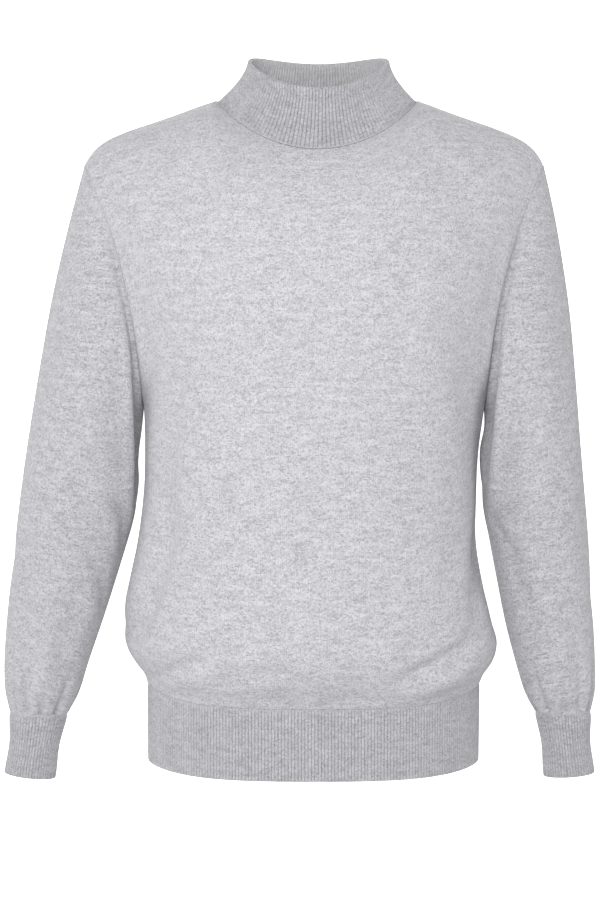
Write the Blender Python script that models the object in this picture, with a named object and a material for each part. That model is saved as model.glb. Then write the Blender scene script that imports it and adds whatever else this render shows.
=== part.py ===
"""A fine-knit turtleneck sweater, filled out as it is when worn and hollow inside.

The frame has +Z up, +X to the wearer's left and -Y to the front. Its origin lies midway between the two
high neck points, where the collar meets the shoulders. Sizes in the tables are millimetres, and the meshes
are built in metres. Each knitted piece is one closed wall: an outer skin, an inner skin one cloth's
thickness inside it, and rims between the two. Neighbouring pieces stop a seam's gap apart.
"""
import math

import bmesh
import bpy
import numpy as np

MM = 0.001                  # one millimetre in metres
JERSEY = 1.6                # thickness of the plain knit
RIBBING = 2.2               # thickness of the single rib of hem and cuffs, to its mean surface
COLLAR_WALL = 4.4           # the collar's rib, folded double
SEAM_GAP = 0.3              # distance between neighbouring pieces

# Armholes: an upright loop from the shoulder's tip down to the underarm.
SHOULDER_TIP = (229.0, -60.0)       # distance from the middle, height
UNDERARM = (170.0, -300.0)
ARMHOLE_BOW = 14.0                  # how far the loop's middle curves toward the neck
ARMHOLE_BOW_FADES = 4.0             # sleeve sections down to the one where that curve is gone
ARMHOLE_HALF_DEPTH = 56.0           # half of the loop's size from front to back
ARM_SEGMENTS = 24                   # facets round a sleeve, half of them on each panel's armhole edge
CHEST_STEP = 6                      # armhole facets below the level where the shoulders start to round

# Neckline and shoulders.
NECK_CENTRE = 3.0                   # the neck stands this far toward the wearer's left
NECK_HALF_WIDTH = 99.0
NECK_SIDE_HEIGHT = 3.0
NECK_FRONT = (85.0, -56.0)          # depth in front of the side points, height
NECK_BACK = (62.0, -15.0)
SHOULDER_SLOPE = 0.345              # fall of the shoulder line for each millimetre outward
SHOULDER_ROUNDING = 11              # how late the shoulder line turns down into the sleeve
NECK_SETBACK = 1.6                  # how level the neckline starts from its side points
NECK_COLUMNS = 14                   # facets of each panel along the neckline
SHOULDER_COLUMNS = 5                # facets of each panel along one shoulder seam
NECK_SHARE = 0.47                   # part of the chest's width that lies below the neckline
NECK_LIFT = 40.0                    # degrees by which the panels stay steep at the middle of the neckline

# Body sections, from the hem's seam up to the chest.
#                 height  right side  left side  front   back
BODY_SECTIONS = (( -577.0,    166.0,     165.0,  117.0,  110.0),
                 ( -567.0,    169.5,     169.5,  127.5,  118.5),
                 ( -555.0,    178.0,     178.0,  136.5,  126.5),
                 ( -538.0,    187.5,     182.5,  143.0,  131.0),
                 ( -515.0,    188.0,     177.0,  145.0,  131.5),
                 ( -475.0,    182.0,     168.0,  141.0,  128.0),
                 ( -435.0,    174.0,     162.0,  138.0,  125.0),
                 ( -395.0,    170.0,     162.0,  137.0,  123.0),
                 ( -350.0,    168.0,     164.0,  138.0,  122.0),
                 ( -300.0,    170.0,     170.0,  139.0,  121.0),
                 ( -180.0,    176.0,     176.0,  137.0,  119.0))
BODY_ROW_HEIGHTS = (-577.0, -567.0, -556.0, -543.0, -526.0, -502.0, -474.0,
                    -444.0, -414.0, -386.0, -358.0, -329.0, -300.0)
BODY_SQUARENESS = 0.26              # how much fuller than an ellipse the sections are
HEM_SEAM_DIP = 14.0                 # the hem's seam hangs this much lower in front and behind
HEM_DIP_FADES = -470.0              # height at which the dip is gone

# Sleeve sections, from the armhole to the cuff's seam: the outermost point, the innermost point and the
# half depth from front to back. Distances run outward from the middle.
#               outer x   outer z   inner x   inner z  half depth
SLEEVE_RIGHT = (( 229.0,    -60.0,    170.0,   -300.0,     56.0),
                ( 246.0,   -125.0,    172.0,   -322.0,     60.0),
                ( 262.0,   -195.0,    174.5,   -342.0,     63.0),
                ( 274.0,   -262.0,    175.5,   -358.0,     64.0),
                ( 284.0,   -328.0,    175.0,   -380.0,     62.0),
                ( 293.0,   -392.0,    181.0,   -417.0,     58.0),
                ( 299.5,   -450.0,    194.0,   -462.0,     53.0),
                ( 304.0,   -505.0,    209.0,   -510.0,     48.0),
                ( 307.5,   -550.0,    223.5,   -553.0,     44.0),
                ( 307.0,   -582.0,    233.5,   -585.0,     38.5),
                ( 302.0,   -604.5,    245.0,   -607.0,     28.0))
SLEEVE_LEFT = (( 229.0,    -60.0,    170.0,   -300.0,     56.0),
               ( 243.0,   -125.0,    170.3,   -322.0,     60.0),
               ( 253.0,   -195.0,    166.0,   -345.0,     63.0),
               ( 259.5,   -262.0,    166.3,   -367.0,     64.0),
               ( 265.0,   -328.0,    169.0,   -388.0,     62.0),
               ( 270.0,   -392.0,    174.0,   -422.0,     58.0),
               ( 274.0,   -450.0,    181.0,   -464.0,     53.0),
               ( 277.5,   -505.0,    189.5,   -512.0,     48.0),
               ( 279.3,   -550.0,    200.0,   -554.0,     44.0),
               ( 279.2,   -582.0,    209.5,   -585.0,     38.5),
               ( 274.5,   -604.0,    219.5,   -604.5,     27.0))
SLEEVE_BANDS = 20                   # facets along a sleeve
SLEEVE_LEAN = 14.0                  # the cuffs hang this far in front of the shoulders
SLEEVE_GATHERS = 9                  # soft pleats round the sleeve above its cuff
GATHER_DEPTH = 1.6
GATHERS_GROW = (0.62, 0.93)         # shares of the sleeve's length where the gathers start and are full

# Cuffs: the lower edge of each, with the sleeve's columns. Their upper edge is the sleeve's last section.
CUFF_RIGHT_END = (307.0, -663.5, 257.0, -669.5, 25.0)
CUFF_LEFT_END = (278.0, -663.5, 228.0, -667.5, 25.0)
CUFF_RIBS = 54
CUFF_BANDS = 2

# Hem band: a rib tube below the body's last section.
HEM_END = (-652.0, 165.5, 164.0, 121.0, 113.0)      # the columns of the body sections
HEM_END_DIP = 5.0
HEM_RIBS = 286
HEM_INNER_POINTS = 143

# Collar: it flares from the neckline and rolls over at its top.
COLLAR_TOP_CENTRE = 4.5
COLLAR_TOP_HALF_WIDTH = 70.0
COLLAR_TOP_FRONT = 60.0
COLLAR_TOP_BACK = 56.0
COLLAR_TOP_HEIGHTS = (5.0, 42.0, 48.5)              # at the front, the sides and the back
COLLAR_FLARE = 1.8                                  # how sharply the band turns upright from its base
COLLAR_BANDS = 3
COLLAR_RIBS = 110
COLLAR_INNER_POINTS = 55

RIB_HEIGHT = 0.9                    # from the bottom of a furrow to the crest of a rib
FINE_RIB_HEIGHT = 0.6               # the same on hem and cuffs

# Largest folds. A fold is a soft straight trough or, with a negative depth, a ridge, on one piece: the
# middle of its run (x, z), its heading from the vertical toward +x, half length, half width and depth.
#                    x       z     heading  half length  half width  depth
FRONT_FOLDS = (( -160.0, -478.0,     18.0,        54.0,       15.0,    7.5),
               ( -135.0, -360.0,      9.0,        80.0,       18.0,    3.5),
               (  162.0, -470.0,     -5.0,        54.0,       10.0,    6.5),
               (  131.0, -538.0,     67.0,        38.0,       11.0,    6.0),
                ( -166.0, -268.0,     12.0,        58.0,       12.0,    7.0),
               (  163.0, -272.0,    -10.0,        60.0,       12.0,    7.0))
BACK_FOLDS = (( -150.0, -500.0,      16.0,        46.0,       15.0,    5.0),
              (  142.0, -470.0,     -12.0,        52.0,       14.0,    5.0),
              (  -40.0, -540.0,     -70.0,        44.0,       13.0,    4.0),
              (  158.0, -262.0,      -9.0,        56.0,       12.0,    6.0),
              ( -158.0, -262.0,       9.0,        56.0,       12.0,    6.0))
FOLD_MARGIN = 22.0                  # folds fade out over this distance from a seam

GREY_MARL = (0.62, 0.61, 0.65)      # base colour of the jersey, linear
GREY_RIB = (0.50, 0.49, 0.52)


def smooth_column(table, column, key):
    """Value of one column of a table at `key` in its first column, on a smooth curve through the rows."""
    rows = np.array(table)
    keys, values = rows[:, 0], rows[:, column]
    slopes = np.gradient(values, keys)
    key = np.asarray(key, dtype=float)
    i = np.clip(np.searchsorted(keys, key) - 1, 0, len(keys) - 2)
    width = keys[i + 1] - keys[i]
    u = (key - keys[i]) / width
    return ((1 + 2 * u) * (1 - u) ** 2 * values[i] + u * (1 - u) ** 2 * width * slopes[i]
            + u * u * (3 - 2 * u) * values[i + 1] + u * u * (u - 1) * width * slopes[i + 1])


def smoothstep(start, end, value):
    """Soft ramp from 0 at `start` to 1 at `end`."""
    u = np.clip((value - start) / (end - start), 0.0, 1.0)
    return u * u * (3 - 2 * u)


def unit(vectors):
    return vectors / np.linalg.norm(vectors, axis=-1, keepdims=True)


def armhole(side, angle):
    """Points and outward directions of an armhole's loop, from the tip (0) over the front to the underarm."""
    angle = np.asarray(angle, dtype=float)
    tip, under = np.array(SHOULDER_TIP), np.array(UNDERARM)
    middle, half = (tip + under) / 2, (tip - under) / 2
    cos, sin = np.cos(angle), np.sin(angle)
    points = np.stack([side * (middle[0] + half[0] * cos - ARMHOLE_BOW * sin ** 2),
                       -ARMHOLE_HALF_DEPTH * sin, middle[1] + half[1] * cos], axis=-1)
    reach = math.hypot(*half)
    outward = np.stack([side * half[0] / reach * cos / reach, -sin / ARMHOLE_HALF_DEPTH,
                        half[1] / reach * cos / reach], axis=-1)
    return points, unit(outward)


def armhole_axis(side):
    """Direction across an armhole's seam, from the body into the sleeve."""
    tip, under = np.array(SHOULDER_TIP), np.array(UNDERARM)
    rise, run = tip[1] - under[1], tip[0] - under[0]
    return unit(np.array([side * rise, 0.0, -run]))


def neckline(face, angle, inset=0.0):
    """Points of the neck seam, or `inset` inside it. The angle runs from -90 to 90 degrees."""
    depth, height = NECK_FRONT if face < 0 else NECK_BACK
    forward = (1 - inset / depth) * np.cos(angle)
    fall = (height - NECK_SIDE_HEIGHT) * np.clip(forward, 0, None) ** NECK_SETBACK
    return np.stack([NECK_CENTRE + (NECK_HALF_WIDTH - inset) * np.sin(angle),
                     face * depth * forward, NECK_SIDE_HEIGHT + fall], axis=-1)


def body_section(face, across, height, edge_x, edge_y):
    """One level row of a torso panel. Its ends lie `edge_x` (right, left) out and `edge_y` off the middle."""
    depth = smooth_column(BODY_SECTIONS, 3 if face < 0 else 4, height)
    end = math.acos(min(1.0, edge_y / depth))
    angle = across * end
    x = np.where(across < 0, edge_x[0], edge_x[1]) * np.sin(angle) / math.sin(end)
    fullness = 1 + BODY_SQUARENESS * (np.sin(angle) ** 2) * (1 - across ** 2)
    return np.stack([x, face * depth * np.cos(angle) * fullness, np.full_like(x, height)], axis=-1)


def hem_dip(height):
    return HEM_SEAM_DIP * (1 - smoothstep(BODY_SECTIONS[0][0], HEM_DIP_FADES, height))


def torso_points(face):
    """Outer points of a torso panel: rows from the hem's seam to the shoulders, columns from -X to +X."""
    to_tip = 1 - np.linspace(1, 0, SHOULDER_COLUMNS + 1) ** 1.4
    shoulder_share = NECK_SHARE + (1 - NECK_SHARE) * to_tip
    across = np.concatenate([-shoulder_share[:0:-1], np.linspace(-NECK_SHARE, NECK_SHARE, NECK_COLUMNS + 1),
                             shoulder_share[1:]])
    rows = []
    for height in BODY_ROW_HEIGHTS[:-1]:
        sides = (smooth_column(BODY_SECTIONS, 1, height), smooth_column(BODY_SECTIONS, 2, height))
        row = body_section(face, across, height, sides, 0.0)
        row[:, 2] -= hem_dip(height) * (1 - np.sin(across * math.pi / 2) ** 4)
        rows.append(row)
    loop_steps = ARM_SEGMENTS // 2
    for step in range(CHEST_STEP + 1):
        edge, _ = armhole(1, math.pi * (1 - step / loop_steps))
        rows.append(body_section(face, across, edge[2], (edge[0], edge[0]), abs(edge[1])))

    # Above the chest each column rolls over to its point on the shoulder seam or the neckline.
    chest = rows[-1]
    on_neck = np.abs(across) <= NECK_SHARE + 1e-9
    neck_angle = np.clip(across / NECK_SHARE, -1, 1) * math.pi / 2
    top = neckline(face, neck_angle)
    along = np.clip((np.abs(across) - NECK_SHARE) / (1 - NECK_SHARE), 0, 1)
    side_point = NECK_CENTRE + np.sign(across) * NECK_HALF_WIDTH
    shoulder_x = side_point + along * (np.sign(across) * SHOULDER_TIP[0] - side_point)
    straight_fall = SHOULDER_SLOPE * (SHOULDER_TIP[0] - NECK_HALF_WIDTH)
    last_fall = NECK_SIDE_HEIGHT - SHOULDER_TIP[1] - straight_fall
    crown = NECK_SIDE_HEIGHT - straight_fall * along - last_fall * along ** SHOULDER_ROUNDING
    shoulder = np.stack([shoulder_x, np.zeros_like(across), crown], axis=-1)
    top = np.where(on_neck[:, None], top, shoulder)
    roll_end = math.pi / 2 - np.radians(NECK_LIFT) * np.where(on_neck, np.cos(neck_angle), 0.0)
    edge_share = smoothstep(0.5, 1.0, np.abs(across))
    for step in range(CHEST_STEP + 1, loop_steps + 1):
        roll = roll_end * (step - CHEST_STEP) / (loop_steps - CHEST_STEP)
        inward = (np.cos(roll) - np.cos(roll_end)) / (1 - np.cos(roll_end))
        rise = np.sin(roll) / np.sin(roll_end)
        row = top + (chest - top) * inward[:, None]
        row[:, 2] = chest[:, 2] + (top[:, 2] - chest[:, 2]) * rise
        for side, column in ((-1, 0), (1, -1)):
            edge, _ = armhole(side, math.pi * (1 - step / loop_steps))
            edge = edge * np.array([1, -face, 1])
            share = np.where(across * side > 0, edge_share, 0.0)
            row += (edge - row[column]) * share[:, None]
        rows.append(row)
    return np.array(rows)


def grid_normals(points, outward, closed=False):
    """Unit normals of a grid of points, on the side that `outward` points to."""
    along = np.gradient(points, axis=0)
    if closed:
        across = np.roll(points, -1, axis=1) - np.roll(points, 1, axis=1)
    else:
        across = np.gradient(points, axis=1)
    normals = unit(np.cross(along, across))
    flip = np.sign(np.sum(normals * outward, axis=-1, keepdims=True))
    return normals * np.where(flip == 0, 1, flip)


def fold_depth(points, folds):
    """How far each point sinks below the smooth cloth, from a table of folds."""
    depth = np.zeros(points.shape[:-1])
    for x, z, heading, half_length, half_width, deep in folds:
        run = np.array([math.sin(math.radians(heading)), math.cos(math.radians(heading))])
        offset = points[..., (0, 2)] - np.array([x, z])
        along = offset @ run
        aside = offset @ np.array([run[1], -run[0]])
        depth += deep * np.exp(-(along / half_length) ** 4 - (aside / half_width) ** 2)
    return depth


def seam_margin(points):
    """1 in the middle of a panel, fading to 0 at its edges."""
    rims = np.concatenate([points[0], points[-1], points[:, 0], points[:, -1]])
    distance = np.linalg.norm(points[:, :, None, :] - rims[None, None], axis=-1).min(axis=-1)
    return smoothstep(0.0, FOLD_MARGIN, distance)


def mitred(normals, outward, angle):
    """Rim directions along an armhole: shared where the seam is a ridge, at the top, and free below it."""
    share = 1 - smoothstep(math.radians(45), math.radians(80), angle)[:, None]
    return unit(outward * share + normals * (1 - share))


def torso_panel(face, folds):
    """Outer and inner points of the front or the back."""
    points = torso_points(face)
    normals = grid_normals(points, points - np.array([0.0, 0.0, -350.0]))
    points = points - normals * (fold_depth(points, folds) * seam_margin(points))[..., None]
    normals = grid_normals(points, points - np.array([0.0, 0.0, -350.0]))
    low = len(BODY_ROW_HEIGHTS) - 1
    half_gap = SEAM_GAP / 2

    # At its seams a wall's rim lies square to the seam, so that neighbours meet face to face.
    for side, column in ((-1, 0), (1, -1)):
        points[:low, column, 1] += face * half_gap
        angles = math.pi * (1 - np.arange(ARM_SEGMENTS // 2 + 1) / (ARM_SEGMENTS // 2))
        _, outward = armhole(side, angles)
        outward[:, 1] *= -face
        normals[low:, column] = mitred(normals[low:, column], outward, angles)
        normals[:low + 1, column] = (side, 0, 0)
        points[low:, column] -= armhole_axis(side) * half_gap
        points[low:, column, 1] += face * half_gap * np.array([1.0] + [0.0] * (len(angles) - 2) + [1.0])
    shoulder = [*range(1, SHOULDER_COLUMNS + 1), *range(-SHOULDER_COLUMNS - 1, -1)]
    for column in shoulder:
        normals[-1, column, 1] = 0.0
        normals[-1, column] = unit(normals[-1, column])
        points[-1, column, 1] += face * half_gap
    normals[0, :, 2] = 0.0
    normals[0] = unit(normals[0])
    points[0, :, 2] += half_gap
    return points, points - normals * JERSEY


def ring(section, angle, bow=0.0, shift=0.0, side=1):
    """A closed ring round an arm, from its outermost point over the front, from a sleeve table's row."""
    outer_x, outer_z, inner_x, inner_z, half_depth = section
    cos, sin = np.cos(angle), np.sin(angle)
    return np.stack([side * ((outer_x + inner_x) / 2 + (outer_x - inner_x) / 2 * cos - bow * sin ** 2),
                     -half_depth * sin - shift,
                     (outer_z + inner_z) / 2 + (outer_z - inner_z) / 2 * cos], axis=-1)


def ring_outward(section, angle, side):
    """Directions square to such a ring, in its own plane."""
    outer_x, outer_z, inner_x, inner_z, half_depth = section
    reach = math.hypot(outer_x - inner_x, outer_z - inner_z) / 2
    cos, sin = np.cos(angle) / reach, np.sin(angle) / half_depth
    return unit(np.stack([side * (outer_x - inner_x) / 2 / reach * cos, -sin,
                          (outer_z - inner_z) / 2 / reach * cos], axis=-1))


def ring_axis(section, side):
    """Direction down the sleeve, square to such a ring."""
    outer_x, outer_z, inner_x, inner_z, _ = section
    return unit(np.array([side * (outer_z - inner_z), 0.0, -(outer_x - inner_x)]))


def sleeve(side, sections):
    """Outer and inner rings of a sleeve, from the armhole to the cuff's seam."""
    angle = 2 * math.pi * np.arange(ARM_SEGMENTS) / ARM_SEGMENTS
    keyed = [(index, *section) for index, section in enumerate(sections)]
    last = len(sections) - 1
    rings = []
    for place in np.linspace(0, last, SLEEVE_BANDS + 1):
        section = [float(smooth_column(keyed, column, place)) for column in range(1, 6)]
        bow = ARMHOLE_BOW * (1 - smoothstep(0.0, ARMHOLE_BOW_FADES, place))
        rings.append(ring(section, angle, bow, SLEEVE_LEAN * (place / last) ** 2, side))
    points = np.array(rings)
    centre = points.mean(axis=1, keepdims=True)
    normals = grid_normals(points, points - centre, closed=True)
    along = np.linspace(0, 1, SLEEVE_BANDS + 1)
    gathers = smoothstep(*GATHERS_GROW, along) * (along < 1)
    wave = 0.5 - 0.5 * np.cos(SLEEVE_GATHERS * angle)
    points = points - normals * GATHER_DEPTH * (gathers[:, None] * wave)[..., None]
    half_gap = SEAM_GAP / 2
    _, outward = armhole(side, angle)
    normals[0] = mitred(normals[0], outward, math.pi - np.abs(angle - math.pi))
    points[0] += armhole_axis(side) * half_gap
    normals[-1] = ring_outward(sections[-1], angle, side)
    points[-1] -= ring_axis(sections[-1], side) * half_gap
    return points, points - normals * JERSEY


def rib_wave(count, height):
    """Heights of a ring's points, two to a rib: a crest, then a furrow."""
    return np.tile((height / 2, -height / 2), count)


def cuff(side, upper, lower):
    """Outer and inner rings of a cuff."""
    outer_angle = 2 * math.pi * np.arange(2 * CUFF_RIBS) / (2 * CUFF_RIBS)
    inner_angle = 2 * math.pi * np.arange(ARM_SEGMENTS) / ARM_SEGMENTS
    outer, inner = [], []
    for band in range(CUFF_BANDS + 1):
        share = band / CUFF_BANDS
        section = [a + (b - a) * share for a, b in zip(upper, lower)]
        gap = ring_axis(section, side) * SEAM_GAP / 2 * (band == 0)
        outward = ring_outward(section, outer_angle, side)
        wave = rib_wave(CUFF_RIBS, FINE_RIB_HEIGHT)[:, None]
        outer.append(ring(section, outer_angle, 0.0, SLEEVE_LEAN, side) + gap + outward * wave)
        inner.append(ring(section, inner_angle, 0.0, SLEEVE_LEAN, side) + gap
                     - ring_outward(section, inner_angle, side) * RIBBING)
    return outer, inner


def level_outward(points):
    """Level directions that lead out of a ring of points."""
    tangent = np.roll(points, -1, axis=0) - np.roll(points, 1, axis=0)
    outward = unit(np.stack([tangent[:, 1], -tangent[:, 0], np.zeros(len(points))], axis=-1))
    return outward * np.sign(np.sum(outward * points, axis=-1))[:, None]


def hem_ring(section, dip, angle):
    """A ring round the body, from the front's middle toward +X, and its outward directions."""
    height, right, left, front, back = section
    x = np.where(np.sin(angle) < 0, right, left) * np.sin(angle)
    depth = np.where(np.cos(angle) > 0, front, back)
    across = 1 - np.abs(np.arccos(np.clip(np.cos(angle), -1, 1)) / (math.pi / 2) - 1)
    fullness = 1 + BODY_SQUARENESS * np.sin(angle) ** 2 * (1 - across ** 2)
    points = np.stack([x, -depth * np.cos(angle) * fullness,
                       height - dip * (1 - np.sin(angle) ** 4)], axis=-1)
    return points, level_outward(points)


def even_angles(count):
    """Angles of points that lie evenly spaced round the hem."""
    angle = np.linspace(0.0, 2 * math.pi, 1441)
    points, _ = hem_ring(BODY_SECTIONS[0], 0.0, angle)
    walked = np.concatenate([[0.0], np.cumsum(np.linalg.norm(np.diff(points, axis=0), axis=1))])
    return np.interp(np.arange(count) / count * walked[-1], walked, angle)


def hem_band():
    """Outer and inner rings of the hem's rib."""
    outer, inner = [], []
    for section, dip, gap in ((BODY_SECTIONS[0], HEM_SEAM_DIP, SEAM_GAP / 2), (HEM_END, HEM_END_DIP, 0.0)):
        points, outward = hem_ring(section, dip, even_angles(2 * HEM_RIBS))
        outer.append(points + outward * rib_wave(HEM_RIBS, FINE_RIB_HEIGHT)[:, None] - (0, 0, gap))
        points, outward = hem_ring(section, dip, even_angles(HEM_INNER_POINTS))
        inner.append(points - outward * RIBBING - (0, 0, gap))
    return outer, inner


def neck_facets(angle, inset):
    """Points on the straight facets of the panels' neck edge, `inset` inside it, counted from the front."""
    corners = 2 * NECK_COLUMNS
    turn = 2 * math.pi * np.arange(corners + 1) / corners
    bend = np.arcsin(np.clip(np.sin(turn), -1, 1))
    points = np.where(np.cos(turn)[:, None] > 1e-9, neckline(-1, bend, inset), neckline(1, bend, inset))
    place = angle / (2 * math.pi) * corners
    first = np.floor(place).astype(int)
    share = (place - first)[:, None]
    return points[first] * (1 - share) + points[first + 1] * share


def collar_ring(share, angle, inset):
    """A ring of the collar at a share of its height, `inset` inside its outer face."""
    cos, sin = np.cos(angle), np.sin(angle)
    front, side_height, back = COLLAR_TOP_HEIGHTS
    swing, sag = (front - back) / 2, (front + back) / 4 - side_height / 2
    top = np.stack([COLLAR_TOP_CENTRE + (COLLAR_TOP_HALF_WIDTH - inset) * sin,
                    (inset - np.where(cos > 0, COLLAR_TOP_FRONT, COLLAR_TOP_BACK)) * cos,
                    side_height + sag + swing * cos + sag * np.cos(2 * angle)], axis=-1)
    seam = neck_facets(angle, inset + SEAM_GAP)
    points = top + (seam - top) * (1 - share) ** COLLAR_FLARE
    points[:, 2] = seam[:, 2] + (top[:, 2] - seam[:, 2]) * share + SEAM_GAP / 2
    return points


def collar():
    """Outer and inner rings of the collar, with its rolled top between them."""
    fine = 2 * math.pi * np.arange(2 * COLLAR_RIBS) / (2 * COLLAR_RIBS)
    coarse = 2 * math.pi * np.arange(COLLAR_INNER_POINTS) / COLLAR_INNER_POINTS
    outer, inner = [], []
    for band in range(COLLAR_BANDS + 1):
        share = band / COLLAR_BANDS
        points = collar_ring(share, fine, 0.0)
        ribs = rib_wave(COLLAR_RIBS, RIB_HEIGHT)[:, None] * (band > 0)
        outer.append(points + level_outward(points) * ribs)
        inner.append(collar_ring(share, coarse, COLLAR_WALL))
    outer.append(collar_ring(1.0, fine, COLLAR_WALL / 2) + (0, 0, COLLAR_WALL / 2))
    return outer, inner


def vertex_ring(bm, points):
    """A closed ring of vertices."""
    verts = bmesh.ops.create_circle(bm, segments=len(points), radius=1.0)["verts"]
    for vert, point in zip(verts, points):
        vert.co = point * MM
    return verts


def join_rings(bm, first, second):
    """A band of faces between two rings, which may have different numbers of points."""
    i = j = 0
    while i < len(first) or j < len(second):
        a, b = first[i % len(first)], second[j % len(second)]
        next_a, next_b = first[(i + 1) % len(first)], second[(j + 1) % len(second)]
        if len(first) == len(second):
            bm.faces.new((a, next_a, next_b, b))
            i, j = i + 1, j + 1
        elif j == len(second) or i < len(first) and (2 * i + 1) * len(second) <= (2 * j + 1) * len(first):
            bm.faces.new((a, next_a, b))
            i += 1
        else:
            bm.faces.new((a, next_b, b))
            j += 1


def tube_mesh(outer, inner):
    """A closed wall round a hollow, from its outer rings and its inner rings in the same order."""
    bm = bmesh.new()
    rings = [vertex_ring(bm, points) for points in [*outer, *reversed(inner)]]
    for first, second in zip(rings, rings[1:] + rings[:1]):
        join_rings(bm, first, second)
    return bm


def panel_mesh(outer, inner):
    """A closed wall from a grid of outer points and the same grid of inner points."""
    bm = bmesh.new()
    rows, columns = outer.shape[:2]
    skins = []
    for points in (outer, inner):
        verts = bmesh.ops.create_grid(bm, x_segments=columns - 1, y_segments=rows - 1, size=1.0)["verts"]
        for vert, point in zip(verts, points.reshape(-1, 3)):
            vert.co = point * MM
        skins.append(verts)
    corner = {"bottom": range(columns), "top": range((rows - 1) * columns, rows * columns),
              "left": range(0, rows * columns, columns), "right": range(columns - 1, rows * columns, columns)}
    for edge in corner.values():
        for a, b in zip(edge, edge[1:]):
            bm.faces.new((skins[0][a], skins[0][b], skins[1][b], skins[1][a]))
    return bm


def knit_material(name, colour):
    material = bpy.data.materials.new(name)
    material.use_nodes = True
    shader = material.node_tree.nodes["Principled BSDF"]
    shader.inputs["Base Color"].default_value = (*colour, 1.0)
    shader.inputs["Roughness"].default_value = 0.95
    shader.inputs["Metallic"].default_value = 0.0
    material.diffuse_color = (*colour, 1.0)
    return material


def add_piece(name, bm, material):
    """Finish a piece's mesh and place it in the scene."""
    bmesh.ops.recalc_face_normals(bm, faces=bm.faces)
    mesh = bpy.data.meshes.new(name)
    bm.to_mesh(mesh)
    bm.free()
    mesh.shade_smooth()
    mesh.set_sharp_from_angle(angle=math.radians(50))
    mesh.materials.append(material)
    piece = bpy.data.objects.new(name, mesh)
    bpy.context.scene.collection.objects.link(piece)
    return piece


def main():
    for old in list(bpy.data.objects):
        bpy.data.objects.remove(old, do_unlink=True)
    jersey = knit_material("grey jersey", GREY_MARL)
    rib = knit_material("grey rib", GREY_RIB)
    add_piece("front", panel_mesh(*torso_panel(-1, FRONT_FOLDS)), jersey)
    add_piece("back", panel_mesh(*torso_panel(1, BACK_FOLDS)), jersey)
    add_piece("sleeve_right", tube_mesh(*sleeve(-1, SLEEVE_RIGHT)), jersey)
    add_piece("sleeve_left", tube_mesh(*sleeve(1, SLEEVE_LEFT)), jersey)
    add_piece("cuff_right", tube_mesh(*cuff(-1, SLEEVE_RIGHT[-1], CUFF_RIGHT_END)), rib)
    add_piece("cuff_left", tube_mesh(*cuff(1, SLEEVE_LEFT[-1], CUFF_LEFT_END)), rib)
    add_piece("hem_rib", tube_mesh(*hem_band()), rib)
    add_piece("collar", tube_mesh(*collar()), rib)


main()
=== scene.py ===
# %% [markdown]
# # A fine-knit turtleneck sweater, filled out and hollow
#
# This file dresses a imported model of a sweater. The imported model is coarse: eight closed walls of cloth, one
# for each piece that a maker would knit. Here each wall gets a finer one in its place, with the folds, the
# ribs and the linking between the pieces, and with a marl knit for its finish.
#
# The pieces are the front, the back, two sleeves, a neck band folded double, a hem band and two cuffs.
# +X is to the wearer's left, -Y is the front, +Z is up. The tables below are in millimetres.

import math

import bmesh
import bpy
import numpy as np
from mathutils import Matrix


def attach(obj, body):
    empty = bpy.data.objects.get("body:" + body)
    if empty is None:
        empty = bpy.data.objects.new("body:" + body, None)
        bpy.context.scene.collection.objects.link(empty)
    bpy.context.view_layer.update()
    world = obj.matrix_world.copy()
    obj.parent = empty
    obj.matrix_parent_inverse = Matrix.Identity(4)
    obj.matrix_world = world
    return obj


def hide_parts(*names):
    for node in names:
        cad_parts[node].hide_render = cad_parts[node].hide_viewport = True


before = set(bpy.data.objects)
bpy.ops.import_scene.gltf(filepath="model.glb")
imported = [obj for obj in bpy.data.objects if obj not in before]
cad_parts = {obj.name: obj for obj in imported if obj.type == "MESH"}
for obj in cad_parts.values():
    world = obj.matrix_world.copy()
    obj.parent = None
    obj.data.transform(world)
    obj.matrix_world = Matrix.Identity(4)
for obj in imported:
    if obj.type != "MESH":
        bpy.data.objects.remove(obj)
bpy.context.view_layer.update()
MM = 0.001
print("nodes:", sorted(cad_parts))

# %% [markdown]
# ## The camera
#
# The camera stands level in front of the sweater, near the height of its middle. At a distance of about two
# metres the perspective is mild: the body's middle looks only a little larger than its sides. Setting the
# lens from the distance and the height that should fill the frame keeps the two apart, so that either can
# be changed alone.

# %% A level camera in front
VIEW_ACROSS, VIEW_UP = -14.0, -345.0
VIEW_DISTANCE = 2100.0
VIEW_HEIGHT = 900.0

camera_data = bpy.data.cameras.new("front_camera")
camera_data.sensor_width = 36.0
camera_data.lens = camera_data.sensor_width * VIEW_DISTANCE / VIEW_HEIGHT
camera = bpy.data.objects.new("front_camera", camera_data)
camera.location = (VIEW_ACROSS * MM, -VIEW_DISTANCE * MM, VIEW_UP * MM)
camera.rotation_euler = (math.pi / 2, 0.0, 0.0)
bpy.context.scene.collection.objects.link(camera)
bpy.context.scene.camera = camera
print("lens:", round(camera_data.lens, 1), "mm")

# %% [markdown]
# ## Knitting on a form
#
# Knitted pieces come off the machine flat and take their shape from the body inside them. So each piece here
# starts as a flat grid, one of Blender's own shapes, and every point of the grid is then laid on a form. The
# form is a rule, not a sculpture: sections are given in short tables, and a smooth curve runs through them.
# The same could be done with a lattice or a cloth simulation, but a rule can be read, and changed by a
# millimetre where it matters.

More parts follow.
